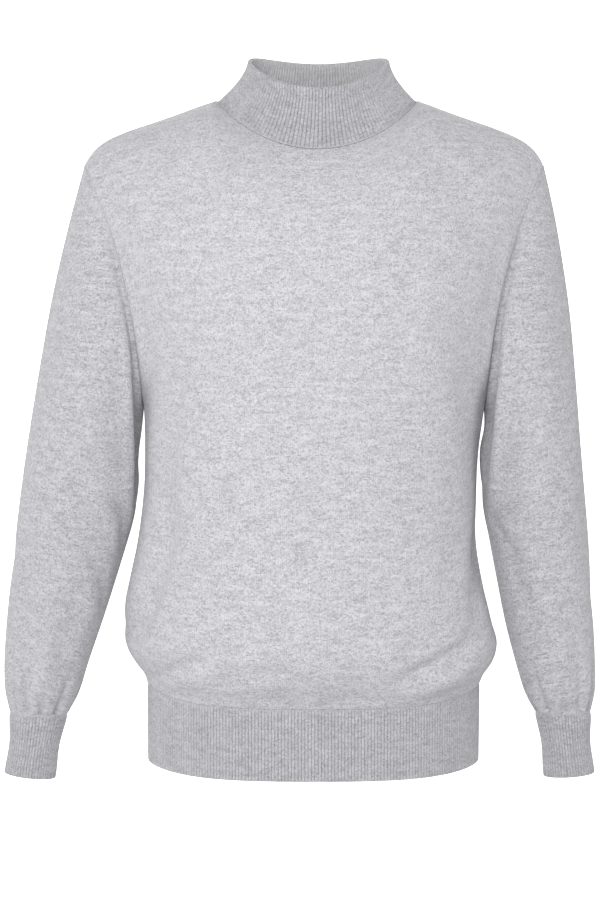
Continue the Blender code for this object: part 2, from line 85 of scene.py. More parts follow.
# %% Smooth curves through a table
def smooth_column(table, column, key):
    """Value of one column of a table at `key` in its first column, on a smooth curve through the rows."""
    rows = np.array(table)
    keys, values = rows[:, 0], rows[:, column]
    slopes = np.gradient(values, keys)
    key = np.asarray(key, dtype=float)
    i = np.clip(np.searchsorted(keys, key) - 1, 0, len(keys) - 2)
    width = keys[i + 1] - keys[i]
    u = (key - keys[i]) / width
    return ((1 + 2 * u) * (1 - u) ** 2 * values[i] + u * (1 - u) ** 2 * width * slopes[i]
            + u * u * (3 - 2 * u) * values[i + 1] + u * u * (u - 1) * width * slopes[i + 1])


def smoothstep(start, end, value):
    """Soft ramp from 0 at `start` to 1 at `end`."""
    u = np.clip((value - start) / (end - start), 0.0, 1.0)
    return u * u * (3 - 2 * u)


def unit(vectors):
    return vectors / np.linalg.norm(vectors, axis=-1, keepdims=True)


def lengths_along(points, axis):
    """Distance walked along one direction of a grid of points, from its first row or column."""
    steps = np.linalg.norm(np.diff(points, axis=axis), axis=-1)
    start = np.zeros_like(np.take(steps, [0], axis=axis))
    return np.concatenate([start, np.cumsum(steps, axis=axis)], axis=axis)


def close(points, axis=0):
    """Points with the first row or column again at their end."""
    return np.concatenate([points, np.take(points, [0], axis=axis)], axis=axis)


def grid_normals(points, outward, closed=False):
    """Unit normals of a grid of points, on the side that `outward` points to."""
    along = np.gradient(points, axis=0)
    if closed:
        across = np.roll(points, -1, axis=1) - np.roll(points, 1, axis=1)
    else:
        across = np.gradient(points, axis=1)
    normals = unit(np.cross(along, across))
    flip = np.sign(np.sum(normals * outward, axis=-1, keepdims=True))
    return normals * np.where(flip == 0, 1, flip)


print("halfway up a ramp:", smoothstep(0, 10, 5))

# %% A flat grid, laid on its form
SHARP_EDGE = 62                 # degrees between two faces above which the edge shows


def lay_grid(places, stitches):
    """A bmesh grid with each of its points laid at a place (mm), and its flat spot (mm) kept as a UV map."""
    rows, columns = places.shape[:2]
    bm = bmesh.new()
    bmesh.ops.create_grid(bm, x_segments=columns - 1, y_segments=rows - 1, size=1.0)
    knit = bm.loops.layers.uv.new("knit")
    spots = (stitches.reshape(-1, 2) * MM).tolist()
    for vert, place in zip(bm.verts, (places.reshape(-1, 3) * MM).tolist()):
        vert.co = place
    bm.verts.index_update()
    for face in bm.faces:
        for loop in face.loops:
            loop[knit].uv = spots[loop.vert.index]
    return bm


def weld_ends(bm, rows, columns, rows_too=True):
    """Weld a grid's last column to its first, and its last row to its first too."""
    bm.verts.ensure_lookup_table()
    kept = np.arange(rows * columns).reshape(rows, columns)
    kept[:, -1] = kept[:, 0]
    if rows_too:
        kept[-1] = kept[0]
    pairs = enumerate(kept.ravel().tolist())
    bmesh.ops.weld_verts(bm, targetmap={bm.verts[i]: bm.verts[keep] for i, keep in pairs if i != keep})


def finish_piece(name, bm):
    """Turn a finished bmesh into an object of the scene."""
    bmesh.ops.recalc_face_normals(bm, faces=bm.faces)
    mesh = bpy.data.meshes.new(name)
    bm.to_mesh(mesh)
    bm.free()
    mesh.shade_smooth()
    mesh.set_sharp_from_angle(angle=math.radians(SHARP_EDGE))
    piece = bpy.data.objects.new(name, mesh)
    bpy.context.scene.collection.objects.link(piece)
    triangles = sum(len(polygon.vertices) - 2 for polygon in mesh.polygons)
    print(f"{name}: {triangles} triangles")
    return piece


def panel_piece(name, outer, inner, stitches):
    """A flat-knitted panel: the grid of its outer face, extruded through its own thickness."""
    bm = lay_grid(outer, stitches)
    order = bm.verts.layers.int.new("order")
    for index, vert in enumerate(bm.verts):
        vert[order] = index
    made = bmesh.ops.extrude_face_region(bm, geom=bm.faces[:], use_keep_orig=True)["geom"]
    under = (inner.reshape(-1, 3) * MM).tolist()
    for vert in made:
        if isinstance(vert, bmesh.types.BMVert):
            vert.co = under[vert[order]]
    bm.verts.layers.int.remove(order)
    return finish_piece(name, bm)


def tube_piece(name, loops, stitches):
    """A tube with a wall. `loops` are rings that run along its outer face to one end and back inside."""
    places = close(close(loops, 1))
    bm = lay_grid(places, stitches)
    weld_ends(bm, *places.shape[:2])
    return finish_piece(name, bm)


# %% [markdown]
# ## The sizes that the pieces share
#
# Where two pieces are linked together they follow one curve. The armhole is an upright loop that leans
# inward at its foot, and the neckline is two half ovals, deeper in front. Both are functions, so that the
# body, the sleeve, the collar and the linking ask the same curve for their places.

# %% Armholes and neckline
JERSEY = 1.6
SEAM_GAP = 0.3

SHOULDER_TIP = (229.0, -60.0)
UNDERARM = (170.0, -300.0)
ARMHOLE_BOW = 14.0
ARMHOLE_BOW_FADES = 4.0
ARMHOLE_HALF_DEPTH = 56.0

NECK_CENTRE = 3.0
NECK_HALF_WIDTH = 99.0
NECK_SIDE_HEIGHT = 3.0
NECK_FRONT = (85.0, -56.0)
NECK_BACK = (62.0, -15.0)
NECK_SETBACK = 1.6


def armhole(side, angle):
    """Points and outward directions of an armhole's loop, from the tip (0) over the front to the underarm."""
    angle = np.asarray(angle, dtype=float)
    tip, under = np.array(SHOULDER_TIP), np.array(UNDERARM)
    middle, half = (tip + under) / 2, (tip - under) / 2
    cos, sin = np.cos(angle), np.sin(angle)
    points = np.stack([side * (middle[0] + half[0] * cos - ARMHOLE_BOW * sin ** 2),
                       -ARMHOLE_HALF_DEPTH * sin, middle[1] + half[1] * cos], axis=-1)
    reach = math.hypot(*half)
    outward = np.stack([side * half[0] / reach * cos / reach, -sin / ARMHOLE_HALF_DEPTH,
                        half[1] / reach * cos / reach], axis=-1)
    return points, unit(outward)


def armhole_axis(side):
    """Direction across an armhole's seam, from the body into the sleeve."""
    tip, under = np.array(SHOULDER_TIP), np.array(UNDERARM)
    return unit(np.array([side * (tip[1] - under[1]), 0.0, under[0] - tip[0]]))


def neckline(face, angle, inset=0.0):
    """Points of the neck seam, or `inset` inside it. The angle runs from -90 to 90 degrees."""
    depth, height = NECK_FRONT if face < 0 else NECK_BACK
    forward = (1 - inset / depth) * np.cos(angle)
    fall = (height - NECK_SIDE_HEIGHT) * np.clip(forward, 0, None) ** NECK_SETBACK
    return np.stack([NECK_CENTRE + (NECK_HALF_WIDTH - inset) * np.sin(angle),
                     face * depth * forward, NECK_SIDE_HEIGHT + fall], axis=-1)


def mitred(normals, outward, angle):
    """Rim directions along an armhole: shared where the seam is a ridge, at the top, and free below it."""
    share = 1 - smoothstep(math.radians(45), math.radians(80), angle)[:, None]
    return unit(outward * share + normals * (1 - share))


loop_points, _ = armhole(1, np.linspace(0, 2 * math.pi, 361))
print("once round an armhole:", round(float(lengths_along(loop_points, 0)[-1])), "mm")

# %% [markdown]
# ## Folds
#
# Soft knit falls in a few long, shallow folds, and few of them are alike. Each is a row of a table: where
# its middle is, which way it heads, how it curves, how long, wide and deep it is, and how much cloth piles
# up in a low lip beside it. They are placed one by one, because a simulation puts folds where the cloth wants
# them and not where this sweater has them.

# %% A fold as a rule
def fold_depth(x, z, folds):
    """How far cloth at (x, z) sinks, from a table of folds."""
    depth = np.zeros(np.broadcast(x, z).shape)
    for middle_x, middle_z, heading, bend, half_length, half_width, deep, lip in folds:
        run = (math.sin(math.radians(heading)), math.cos(math.radians(heading)))
        along = ((x - middle_x) * run[0] + (z - middle_z) * run[1]) / half_length
        aside = ((x - middle_x) * run[1] - (z - middle_z) * run[0] - bend * along ** 2) / half_width
        trough = np.exp(-aside ** 2) - lip * np.exp(-((aside - 1.9) / 1.1) ** 2)
        depth += deep * trough * np.exp(-np.abs(along) ** 3)
    return depth


print("depth at the middle of a 5 mm fold:", fold_depth(0.0, 0.0, [(0, 0, 10, 0, 40, 10, 5.0, 0.0)]))

# %% [markdown]
# ## Front and back
#
# The body is two flat-knitted panels that meet at the sides and along the shoulders. Below the armholes each
# row of a panel is a level half-section of the body, a little squarer than an oval. The cloth is wider than
# the hem band that holds it, so it blouses: it swells just above the band and turns in under itself. Above
# the chest the rows roll over to the shoulder seams and the neckline.

# %% Sizes of the body
BODY_SECTIONS = (  # height, right side, left side, front, back
    (-577, 166, 165, 117, 110), (-567, 169.5, 169.5, 123.5, 116.5),
    (-555, 178, 178, 133.5, 124.5), (-538, 187.5, 182.5, 143, 131),
    (-515, 188, 177, 145, 131.5), (-475, 182, 168, 141, 128),
    (-435, 174, 162, 138, 125), (-395, 170, 162, 137, 123),
    (-350, 168, 164, 138, 122), (-300, 170, 170, 139, 121),
    (-180, 176, 176, 137, 119))
BODY_SQUARENESS = 0.26
HEM_SEAM_DIP = 14.0
HEM_DIP_FADES = -470.0
SHOULDER_SLOPE = 0.345
SHOULDER_ROUNDING = 11
NECK_SHARE = 0.47
NECK_LIFT = 40.0
NECK_COLUMNS = 76
SHOULDER_COLUMNS = 40
LOW_ROWS = 92
HIGH_ROWS = 96

FRONT_FOLDS = (  # x, z, heading, bend, half length, half width, depth, lip
    (-141, -345, 187, 0, 84, 14, 6, 0.25),
    (-152, -458, 195, 3, 58, 12, 9.5, 0.25),
    (-170, -507, 208, 0, 26, 9, 6.5, 0.25),
    (161, -462, 185, 0, 50, 9.5, 6.5, 0.35),
    (117, -548, 64, -2, 42, 10, 10, 0.45),
    (96, -530, 58, 3, 30, 9, 2.4, 0.4),
    (-160, -275, 5, 0, 52, 9, 3, 0.3),
    (150, -300, -8, 4, 90, 14, 3, 0.3),
    (-112, -546, 76, 2, 30, 10, 4.4, 0.4),
    (-60, -556, 80, 3, 40, 7, 2.6, 0.4),
    (-136, -558, 66, -3, 26, 7, 2.4, 0.3),
    (-30, -470, 30, 6, 70, 20, 1.2, 0.4),
    (70, -480, -38, -6, 60, 17, 1.4, 0.4),
    (-76, -52, 42, 3, 34, 13, 1, 0.3),
    (112, -68, -38, 3, 42, 13, 1.8, 0.3),
    (-150, -120, 30, 4, 44, 14, 1.8, 0.3),
    (158, -135, -26, 4, 44, 14, 1.8, 0.3),
    (70, -330, -8, 6, 90, 26, 1.2, 0.3))
BACK_FOLDS = (
    (-146, -488, 200, 8, 50, 15, 7, 0.3),
    (150, -470, 188, -3, 52, 9, 6.5, 0.4),
    (-96, -546, -68, -4, 40, 9, 5, 0.35),
    (70, -550, 66, 4, 40, 9, 4.2, 0.35),
    (-10, -560, 88, 3, 60, 8, 2.4, 0.3),
    (154, -268, -7, 0, 52, 9, 4, 0.3),
    (-154, -268, 7, 0, 52, 9, 4, 0.3),
    (118, -390, 6, 2, 84, 20, 3, 0.3),
    (-20, -400, 4, 5, 100, 26, 1.6, 0.4),
    (-70, -130, 62, 5, 46, 14, 1.8, 0.3),
    (72, -132, -62, -5, 46, 14, 1.8, 0.3))
FOLD_MARGIN = 20.0

# %% Body rows
def body_section(face, across, height, edge_x, edge_y):
    """One level row of a torso panel. Its ends lie `edge_x` (right, left) out and `edge_y` off the middle."""
    depth = smooth_column(BODY_SECTIONS, 3 if face < 0 else 4, height)
    end = math.acos(min(1.0, edge_y / depth))
    angle = across * end
    x = np.where(across < 0, edge_x[0], edge_x[1]) * np.sin(angle) / math.sin(end)
    fullness = 1 + BODY_SQUARENESS * (np.sin(angle) ** 2) * (1 - across ** 2)
    return np.stack([x, face * depth * np.cos(angle) * fullness, np.full_like(x, height)], axis=-1)


def hem_dip(height):
    return HEM_SEAM_DIP * (1 - smoothstep(BODY_SECTIONS[0][0], HEM_DIP_FADES, height))


# Columns lie closer together toward the armholes, and rows closer toward the seams.
to_tip = 1 - np.linspace(1, 0, SHOULDER_COLUMNS + 1) ** 1.4
shoulder_share = NECK_SHARE + (1 - NECK_SHARE) * to_tip
ACROSS = np.concatenate([-shoulder_share[:0:-1], np.linspace(-NECK_SHARE, NECK_SHARE, NECK_COLUMNS + 1),
                         shoulder_share[1:]])
HEM_TO_UNDERARM = UNDERARM[1] - BODY_SECTIONS[0][0]
LOW_HEIGHTS = BODY_SECTIONS[0][0] + HEM_TO_UNDERARM * np.linspace(0, 1, LOW_ROWS + 1) ** 1.15
by_height = np.arccos(2 * np.linspace(0, 1, HIGH_ROWS + 1) - 1)
by_angle = math.pi * (1 - np.linspace(0, 1, HIGH_ROWS + 1))
ARMHOLE_ANGLES = 0.5 * by_height + 0.5 * by_angle
print("columns:", len(ACROSS), " rows:", LOW_ROWS + HIGH_ROWS + 1)


def shoulder_line(along):
    """Heights of a shoulder seam at shares of its length, from the neck outward."""
    straight_fall = SHOULDER_SLOPE * (SHOULDER_TIP[0] - NECK_HALF_WIDTH)
    last_fall = NECK_SIDE_HEIGHT - SHOULDER_TIP[1] - straight_fall
    return NECK_SIDE_HEIGHT - straight_fall * along - last_fall * along ** SHOULDER_ROUNDING


def torso_points(face):
    """Outer points of a torso panel: rows from the hem's seam to the shoulders, columns from -X to +X."""
    rows = []
    for height in LOW_HEIGHTS[:-1]:
        sides = (smooth_column(BODY_SECTIONS, 1, height), smooth_column(BODY_SECTIONS, 2, height))
        row = body_section(face, ACROSS, height, sides, 0.0)
        row[:, 2] -= hem_dip(height) * (1 - np.sin(ACROSS * math.pi / 2) ** 4)
        rows.append(row)
    level = ARMHOLE_ANGLES >= math.pi / 2
    for angle in ARMHOLE_ANGLES[level]:
        edge, _ = armhole(1, angle)
        rows.append(body_section(face, ACROSS, edge[2], (edge[0], edge[0]), abs(edge[1])))

    # Above the chest each column rolls over to its point on the shoulder seam or the neckline.
    edge, _ = armhole(1, math.pi / 2)
    chest = body_section(face, ACROSS, edge[2], (edge[0], edge[0]), abs(edge[1]))
    on_neck = np.abs(ACROSS) <= NECK_SHARE + 1e-9
    neck_angle = np.clip(ACROSS / NECK_SHARE, -1, 1) * math.pi / 2
    along = np.clip((np.abs(ACROSS) - NECK_SHARE) / (1 - NECK_SHARE), 0, 1)
    side_point = NECK_CENTRE + np.sign(ACROSS) * NECK_HALF_WIDTH
    shoulder_x = side_point + along * (np.sign(ACROSS) * SHOULDER_TIP[0] - side_point)
    shoulder = np.stack([shoulder_x, np.zeros_like(ACROSS), shoulder_line(along)], axis=-1)
    top = np.where(on_neck[:, None], neckline(face, neck_angle), shoulder)
    roll_end = math.pi / 2 - np.radians(NECK_LIFT) * np.where(on_neck, np.cos(neck_angle), 0.0)
    edge_share = smoothstep(0.5, 1.0, np.abs(ACROSS))
    for angle in ARMHOLE_ANGLES[~level]:
        roll = roll_end * (1 - angle / (math.pi / 2))
        inward = (np.cos(roll) - np.cos(roll_end)) / (1 - np.cos(roll_end))
        rise = np.sin(roll) / np.sin(roll_end)
        row = top + (chest - top) * inward[:, None]
        row[:, 2] = chest[:, 2] + (top[:, 2] - chest[:, 2]) * rise
        for side, column in ((-1, 0), (1, -1)):
            edge, _ = armhole(side, angle)
            share = np.where(ACROSS * side > 0, edge_share, 0.0)
            row += (edge * np.array([1, -face, 1]) - row[column]) * share[:, None]
        rows.append(row)
    return np.array(rows)


# %% Panels with their folds, seams and thickness
SEAM_GROOVE = (0.6, 1.5)        # depth, half width of the dip along a linked edge
EASED_ROWS = 13.0
EASING_PASSES = 120
BODY_UNEVENNESS = 0.45
ARMHOLE_ROLL = (2.6, 10.0, 9.0)  # height, distance from the armhole and half width of the body's rolled edge
ROLL_HEIGHTS = (-300.0, -260.0, -150.0, -100.0)     # the edge starts to roll, is rolled, starts to end, ends
INSIDE = np.array([0.0, 0.0, -350.0])


def distance_to(points, rim):
    """Distance of each point of a panel from the nearest of some rim points."""
    return np.array([np.linalg.norm(row[:, None, :] - rim[None], axis=-1).min(axis=-1) for row in points])


def edge_distance(points):
    return distance_to(points, np.concatenate([points[0], points[-1], points[:, 0], points[:, -1]])[::2])


def soft_waves(x, z, height):
    """A slight unevenness, as cloth has even where it isn't folded."""
    return height * (np.sin(x / 23 + 1.1 * np.sin(z / 61)) * np.sin(z / 47 + 0.8 * np.sin(x / 53))
                     + 0.5 * np.sin(x / 11.3 - z / 38 + 1.7))


def ease_chest(points):
    """Let the level rows run smoothly into the rows between the armholes, where two rules meet."""
    near = np.exp(-((np.arange(len(points)) - LOW_ROWS) / EASED_ROWS) ** 2)[:, None]
    share = (0.5 * near * smoothstep(0.0, 30.0, edge_distance(points)))[..., None]
    for _ in range(EASING_PASSES):
        points[1:-1] += share[1:-1] * ((points[:-2] + points[2:]) / 2 - points[1:-1])


def torso_panel(name, face, folds):
    points = torso_points(face)
    ease_chest(points)
    flat_u = lengths_along(points, 1)
    flat_u -= flat_u[:, [len(ACROSS) // 2]]
    flat_u[LOW_ROWS + 1:] = flat_u[LOW_ROWS]
    flat_v = lengths_along(points, 0)
    print(f"{name}: cut {np.ptp(flat_u, axis=1).max():.0f} by {flat_v.max():.0f} mm")

    normals = grid_normals(points, points - INSIDE)
    x, z = points[..., 0], points[..., 2]
    distance = edge_distance(points)
    sink = fold_depth(x, z, folds) + soft_waves(x, z, BODY_UNEVENNESS)
    sink *= smoothstep(0.0, FOLD_MARGIN, distance)
    sink += SEAM_GROOVE[0] * np.exp(-(distance / SEAM_GROOVE[1]) ** 2)
    from_armhole = distance_to(points, np.concatenate([points[LOW_ROWS:, 0], points[LOW_ROWS:, -1]]))
    starts, full, fades, ends = ROLL_HEIGHTS
    rolled = smoothstep(starts, full, z) * (1 - smoothstep(fades, ends, z))
    rolled *= smoothstep(0.0, 5.0, from_armhole)
    height, inset, half_width = ARMHOLE_ROLL
    sink -= height * np.exp(-((from_armhole - inset) / half_width) ** 2) * rolled
    points = points - normals * sink[..., None]
    normals = grid_normals(points, points - INSIDE)

    # The rim lies square to its seam, so that neighbours meet face to face.
    half_gap = SEAM_GAP / 2
    for side, column in ((-1, 0), (1, -1)):
        points[:LOW_ROWS, column, 1] += face * half_gap
        _, outward = armhole(side, ARMHOLE_ANGLES)
        outward[:, 1] *= -face
        normals[LOW_ROWS:, column] = mitred(normals[LOW_ROWS:, column], outward, ARMHOLE_ANGLES)
        normals[:LOW_ROWS + 1, column] = (side, 0, 0)
        points[LOW_ROWS:, column] -= armhole_axis(side) * half_gap
        points[[LOW_ROWS, -1], column, 1] += face * half_gap
    for column in [*range(1, SHOULDER_COLUMNS + 1), *range(-SHOULDER_COLUMNS - 1, -1)]:
        normals[-1, column, 1] = 0.0
        normals[-1, column] = unit(normals[-1, column])
        points[-1, column, 1] += face * half_gap
    normals[0, :, 2] = 0.0
    normals[0] = unit(normals[0])
    points[0, :, 2] += half_gap
    return panel_piece(name, points, points - normals * JERSEY, np.stack([flat_u, flat_v], axis=-1))


front = torso_panel("front_panel", -1, FRONT_FOLDS)
back = torso_panel("back_panel", 1, BACK_FOLDS)

# %% [markdown]
# ## Sleeves
#
# A sleeve is knitted flat, wide at the top and narrow at the wrist, and closed by one seam under the arm.
# Its rings start on the armhole's loop and turn level on the way down. Above the cuff there is more cloth
# than the cuff takes, so it gathers in small pleats. Folds on a sleeve are given by their place round it, in
# degrees from the front toward the outside, and their height.

# %% Sizes of the sleeves
SLEEVE_RIGHT = (  # outer x, outer z, inner x, inner z, half depth
    (229, -60, 170, -300, 56), (246, -125, 172, -322, 60),
    (262, -195, 174.5, -342, 63), (274, -262, 175.5, -358, 64),
    (284, -328, 175, -380, 62), (293, -392, 181, -417, 58),
    (299.5, -450, 194, -462, 53), (304, -505, 209, -510, 48),
    (307.5, -550, 223.5, -553, 44), (307, -582, 233.5, -585, 38.5),
    (302, -604.5, 245, -607, 28))
SLEEVE_LEFT = (
    (229, -60, 170, -300, 56), (243, -125, 170.3, -322, 60),
    (253, -195, 166, -345, 63), (259.5, -262, 166.3, -367, 64),
    (265, -328, 169, -388, 62), (270, -392, 174, -422, 58),
    (274, -450, 181, -464, 53), (277.5, -505, 189.5, -512, 48),
    (279.3, -550, 200, -554, 44), (279.2, -582, 209.5, -585, 38.5),
    (274.5, -604, 219.5, -604.5, 27))
SLEEVE_LEAN = 14.0
SLEEVE_COLUMNS = 128
SLEEVE_ROWS = 190
SLEEVE_FOLD_MARGIN = 12.0
SLEEVE_UNEVENNESS = 0.35

SLEEVE_FOLDS_RIGHT = (  # degrees from the front, z, heading, bend, half length, half width, depth, lip
    (-60, -412, 150, 3, 30, 8, 3.6, 0.4),
    (-50, -470, 146, 3, 32, 8, 3.2, 0.4),
    (-24, -520, 3, 5, 70, 11, 2, 0.4),
    (22, -545, -4, -4, 60, 10, 2, 0.4),
    (-14, -380, 6, 6, 100, 16, 1.6, 0.4),
    (48, -250, 6, 6, 100, 18, 1.2, 0.3),
    (140, -390, 12, 4, 70, 12, 2.6, 0.4),
    (215, -430, -14, -4, 62, 12, 2.8, 0.4),
    (95, -480, 20, 3, 50, 11, 2, 0.4),
    (175, -255, -10, 3, 60, 12, 2.4, 0.3))
SLEEVE_FOLDS_LEFT = (
    (-56, -430, -32, 3, 30, 8, 3, 0.4),
    (-34, -500, -12, 5, 60, 10, 2.2, 0.4),
    (26, -530, -4, -4, 66, 10, 1.8, 0.4),
    (8, -390, 5, 5, 90, 15, 1.6, 0.4),
    (46, -260, 6, 6, 100, 18, 1.2, 0.3),
    (134, -400, 14, 4, 66, 12, 2.6, 0.4),
    (222, -410, -12, -4, 64, 12, 2.8, 0.4),
    (90, -470, 18, 3, 52, 11, 2, 0.4),
    (180, -250, -8, 3, 58, 12, 2.4, 0.3))
# The fold at each armpit is a row like the front's, in x and z.
ARMPIT_CORNER_RIGHT = (-173.5, -330.0, 180.0, 0.0, 80.0, 4.7, 6.5, 0.85)
ARMPIT_CORNER_LEFT = (170.5, -330.0, 4.0, 0.0, 84.0, 4.7, 6.5, 0.85)
SEAM_TUCK = (4.6, 7.0, 9.0)     # depth, distance from the armhole and half width of the sleeve's tuck
GATHERS_RIGHT = (  # degrees from the front, length above the cuff, half width, depth
    (-92, 50, 4.4, 4), (-45, 66, 4.6, 6.2), (-10, 46, 3.8, 4.4), (22, 70, 3.8, 5),
    (50, 86, 3.8, 5), (104, 52, 4.6, 4.2), (146, 70, 4.8, 4.6), (188, 54, 4.6, 4),
    (230, 62, 4.6, 4.4))
GATHERS_LEFT = (
    (-80, 56, 4.6, 4), (-44, 74, 4.4, 5.2), (-4, 48, 3.8, 3.6), (30, 66, 4, 4.2),
    (62, 82, 4, 5), (114, 66, 4.8, 4.4), (152, 50, 4.4, 4), (194, 72, 4.8, 4.6),
    (238, 56, 4.6, 4.2))
SLEEVE_MIDDLES = (  # height, distance of the sleeve's middle from the body's, its mean radius
    (-612, 273, 29), (-586, 270, 38), (-505, 256, 49), (-392, 236, 58),
    (-328, 228, 60), (-200, 221, 55), (-125, 219, 42), (-60, 214, 22))
SLEEVE_TILT = 9.0

# %% Rings round an arm
def ring(section, angle, bow, shift, side):
    """A closed ring round an arm, from its outermost point over the front, from a sleeve table's row."""
    outer_x, outer_z, inner_x, inner_z, half_depth = section
    cos, sin = np.cos(angle), np.sin(angle)
    return np.stack([side * ((outer_x + inner_x) / 2 + (outer_x - inner_x) / 2 * cos - bow * sin ** 2),
                     -half_depth * sin - shift,
                     (outer_z + inner_z) / 2 + (outer_z - inner_z) / 2 * cos], axis=-1)


def ring_outward(section, angle, side):
    """Directions square to such a ring, in its own plane."""
    outer_x, outer_z, inner_x, inner_z, half_depth = section
    reach = math.hypot(outer_x - inner_x, outer_z - inner_z) / 2
    cos, sin = np.cos(angle) / reach, np.sin(angle) / half_depth
    return unit(np.stack([side * (outer_x - inner_x) / 2 / reach * cos, -sin,
                          (outer_z - inner_z) / 2 / reach * cos], axis=-1))


def ring_axis(section, side):
    """Direction down the sleeve, square to such a ring."""
    outer_x, outer_z, inner_x, inner_z, _ = section
    return unit(np.array([side * (outer_z - inner_z), 0.0, -(outer_x - inner_x)]))


def round_trip(angle, degrees):
    """Turn from one bearing round the sleeve to others, between -180 and 180 degrees. Bearings run from the
    front toward the outside, while a ring's angle runs from the outermost point over the front."""
    bearing = 90.0 - np.degrees(angle)
    return (bearing - degrees + 180.0) % 360.0 - 180.0


def sleeve_stitches(points, side):
    """Flat places of a sleeve's stitches. Courses lie square to the sleeve and wales run down it, with
    the columns counted from the outermost line, so that the first and last meet in the underarm seam."""
    middles = np.array(SLEEVE_MIDDLES)
    middle_x = np.interp(points[..., 2], middles[:, 0], middles[:, 1])
    radius = np.interp(points[..., 2], middles[:, 0], middles[:, 2])
    middle_y = points[:, :-1, 1].mean(axis=1)[:, None]
    around = np.unwrap(np.arctan2(middle_y - points[..., 1], side * points[..., 0] - middle_x), axis=1)
    around -= 2 * math.pi * np.round(around.mean(axis=1, keepdims=True) / (2 * math.pi))
    tilt = math.radians(SLEEVE_TILT)
    down = side * points[..., 0] * math.sin(tilt) - points[..., 2] * math.cos(tilt)
    return np.stack([around * radius, down], axis=-1)


def sleeve_section(sections, place):
    """A sleeve table's row at any place between its rows, which are counted from the armhole."""
    keyed = [(index, *section) for index, section in enumerate(sections)]
    return [float(smooth_column(keyed, column, place)) for column in range(1, 6)]


# %% Sleeves with folds and gathers
def sleeve(name, side, sections, folds, corner, gathers):
    angle = math.pi + 2 * math.pi * np.arange(SLEEVE_COLUMNS) / SLEEVE_COLUMNS
    share = np.linspace(0, 1, SLEEVE_ROWS + 1)
    share = share - 0.6 * np.sin(2 * math.pi * share) / (2 * math.pi)
    last = len(sections) - 1
    rings = []
    for place in share * last:
        section = sleeve_section(sections, place)
        bow = ARMHOLE_BOW * (1 - smoothstep(0.0, ARMHOLE_BOW_FADES, place))
        rings.append(ring(section, angle, bow, SLEEVE_LEAN * (place / last) ** 2, side))
    points = np.array(rings)
    closed = close(points, 1)
    stitches = sleeve_stitches(closed, side)
    girth = lengths_along(closed, 1)[:, -1:]
    print(f"{name}: cut {girth.max():.0f} by {lengths_along(closed, 0).max():.0f} mm")

    normals = grid_normals(points, points - points.mean(axis=1, keepdims=True), closed=True)
    from_top = lengths_along(points, 0)
    from_cuff = from_top[-1] - from_top
    radius = girth / (2 * math.pi)
    margin = smoothstep(0.0, SLEEVE_FOLD_MARGIN, from_top) * smoothstep(0.0, SLEEVE_FOLD_MARGIN, from_cuff)
    sink = np.zeros(points.shape[:2])
    for bearing, z, *fold in folds:
        aside = side * np.radians(round_trip(angle, bearing)) * radius
        sink += fold_depth(aside, points[..., 2], [(0.0, z, *fold)]) * margin
    facing = smoothstep(0.0, 0.3, np.abs(np.sin(angle))) * np.where(np.sin(angle) > 0, 1.0, 0.8)
    sink += fold_depth(points[..., 0], points[..., 2], [corner]) * margin * facing
    tucked = (1 - smoothstep(-175.0, -100.0, points[..., 2])) * smoothstep(0.35, 0.8, np.abs(np.sin(angle)))
    tucked = tucked * smoothstep(0.0, 4.0, from_top)
    deep, inset, half_width = SEAM_TUCK
    sink += deep * np.exp(-((from_top - inset) / half_width) ** 2) * tucked
    for bearing, reach, half_width, deep in gathers:
        aside = np.radians(round_trip(angle, bearing)) * radius
        grow = (1 - smoothstep(0.0, reach, from_cuff)) * smoothstep(0.0, 2.0, from_cuff)
        sink += deep * grow * np.exp(-(aside / half_width) ** 2)
    sink += soft_waves(points[..., 0] + points[..., 1], points[..., 2], SLEEVE_UNEVENNESS) * margin
    seam = np.minimum(from_top, from_cuff)
    sink += SEAM_GROOVE[0] * np.exp(-(seam / SEAM_GROOVE[1]) ** 2)
    points = points - normals * sink[..., None]
    normals = grid_normals(points, points - points.mean(axis=1, keepdims=True), closed=True)

    half_gap = SEAM_GAP / 2
    _, outward = armhole(side, angle)
    normals[0] = mitred(normals[0], outward, np.abs(angle - 2 * math.pi))
    points[0] += armhole_axis(side) * half_gap
    normals[-1] = ring_outward(sections[-1], angle, side)
    points[-1] -= ring_axis(sections[-1], side) * half_gap
    loops = np.concatenate([points, (points - normals * JERSEY)[::-1]])
    stitches = np.concatenate([stitches, stitches[::-1], stitches[:1]])
    return tube_piece(name, loops, stitches)


sleeve_right = sleeve("right_sleeve", -1, SLEEVE_RIGHT, SLEEVE_FOLDS_RIGHT, ARMPIT_CORNER_RIGHT,
                      GATHERS_RIGHT)
sleeve_left = sleeve("left_sleeve", 1, SLEEVE_LEFT, SLEEVE_FOLDS_LEFT, ARMPIT_CORNER_LEFT, GATHERS_LEFT)

# %% [markdown]
# ## Ribs
#
# In a rib, wales that stand forward take turns with wales that lie back, so the cloth is corrugated and
# pulls in. Here the ribs are real waves in the wall, with several points to each. In a single layer the wave
# is the same on both faces: where a wale stands forward outside, it lies back inside. The profile has a
# broad round crest and a narrow furrow, which a plain sine doesn't.

# %% The wave of a rib
RIBBING = 2.2
RIB_PITCH = 3.5                 # one rib in the pattern, whatever it is drawn in to
FURROW_SHARPNESS = 0.6


def rib_wave(turns, count, height):
    """Height of a ribbed face where `turns` runs from 0 to 1 once round."""
    swell = np.abs(np.sin(math.pi * count * turns)) ** FURROW_SHARPNESS
    return height * (swell - 0.6)


def tube_turns(count, points_per_rib):
    return np.arange(count * points_per_rib) / (count * points_per_rib)


def rim_steps(count):
    """Angles of the steps round a rim, from the outer face to the inner one, without its two ends."""
    return math.pi * np.arange(1, count) / count


print("crest and furrow of a 1 mm rib:", rib_wave(np.array([0.5, 0.0]), 1, 1.0))

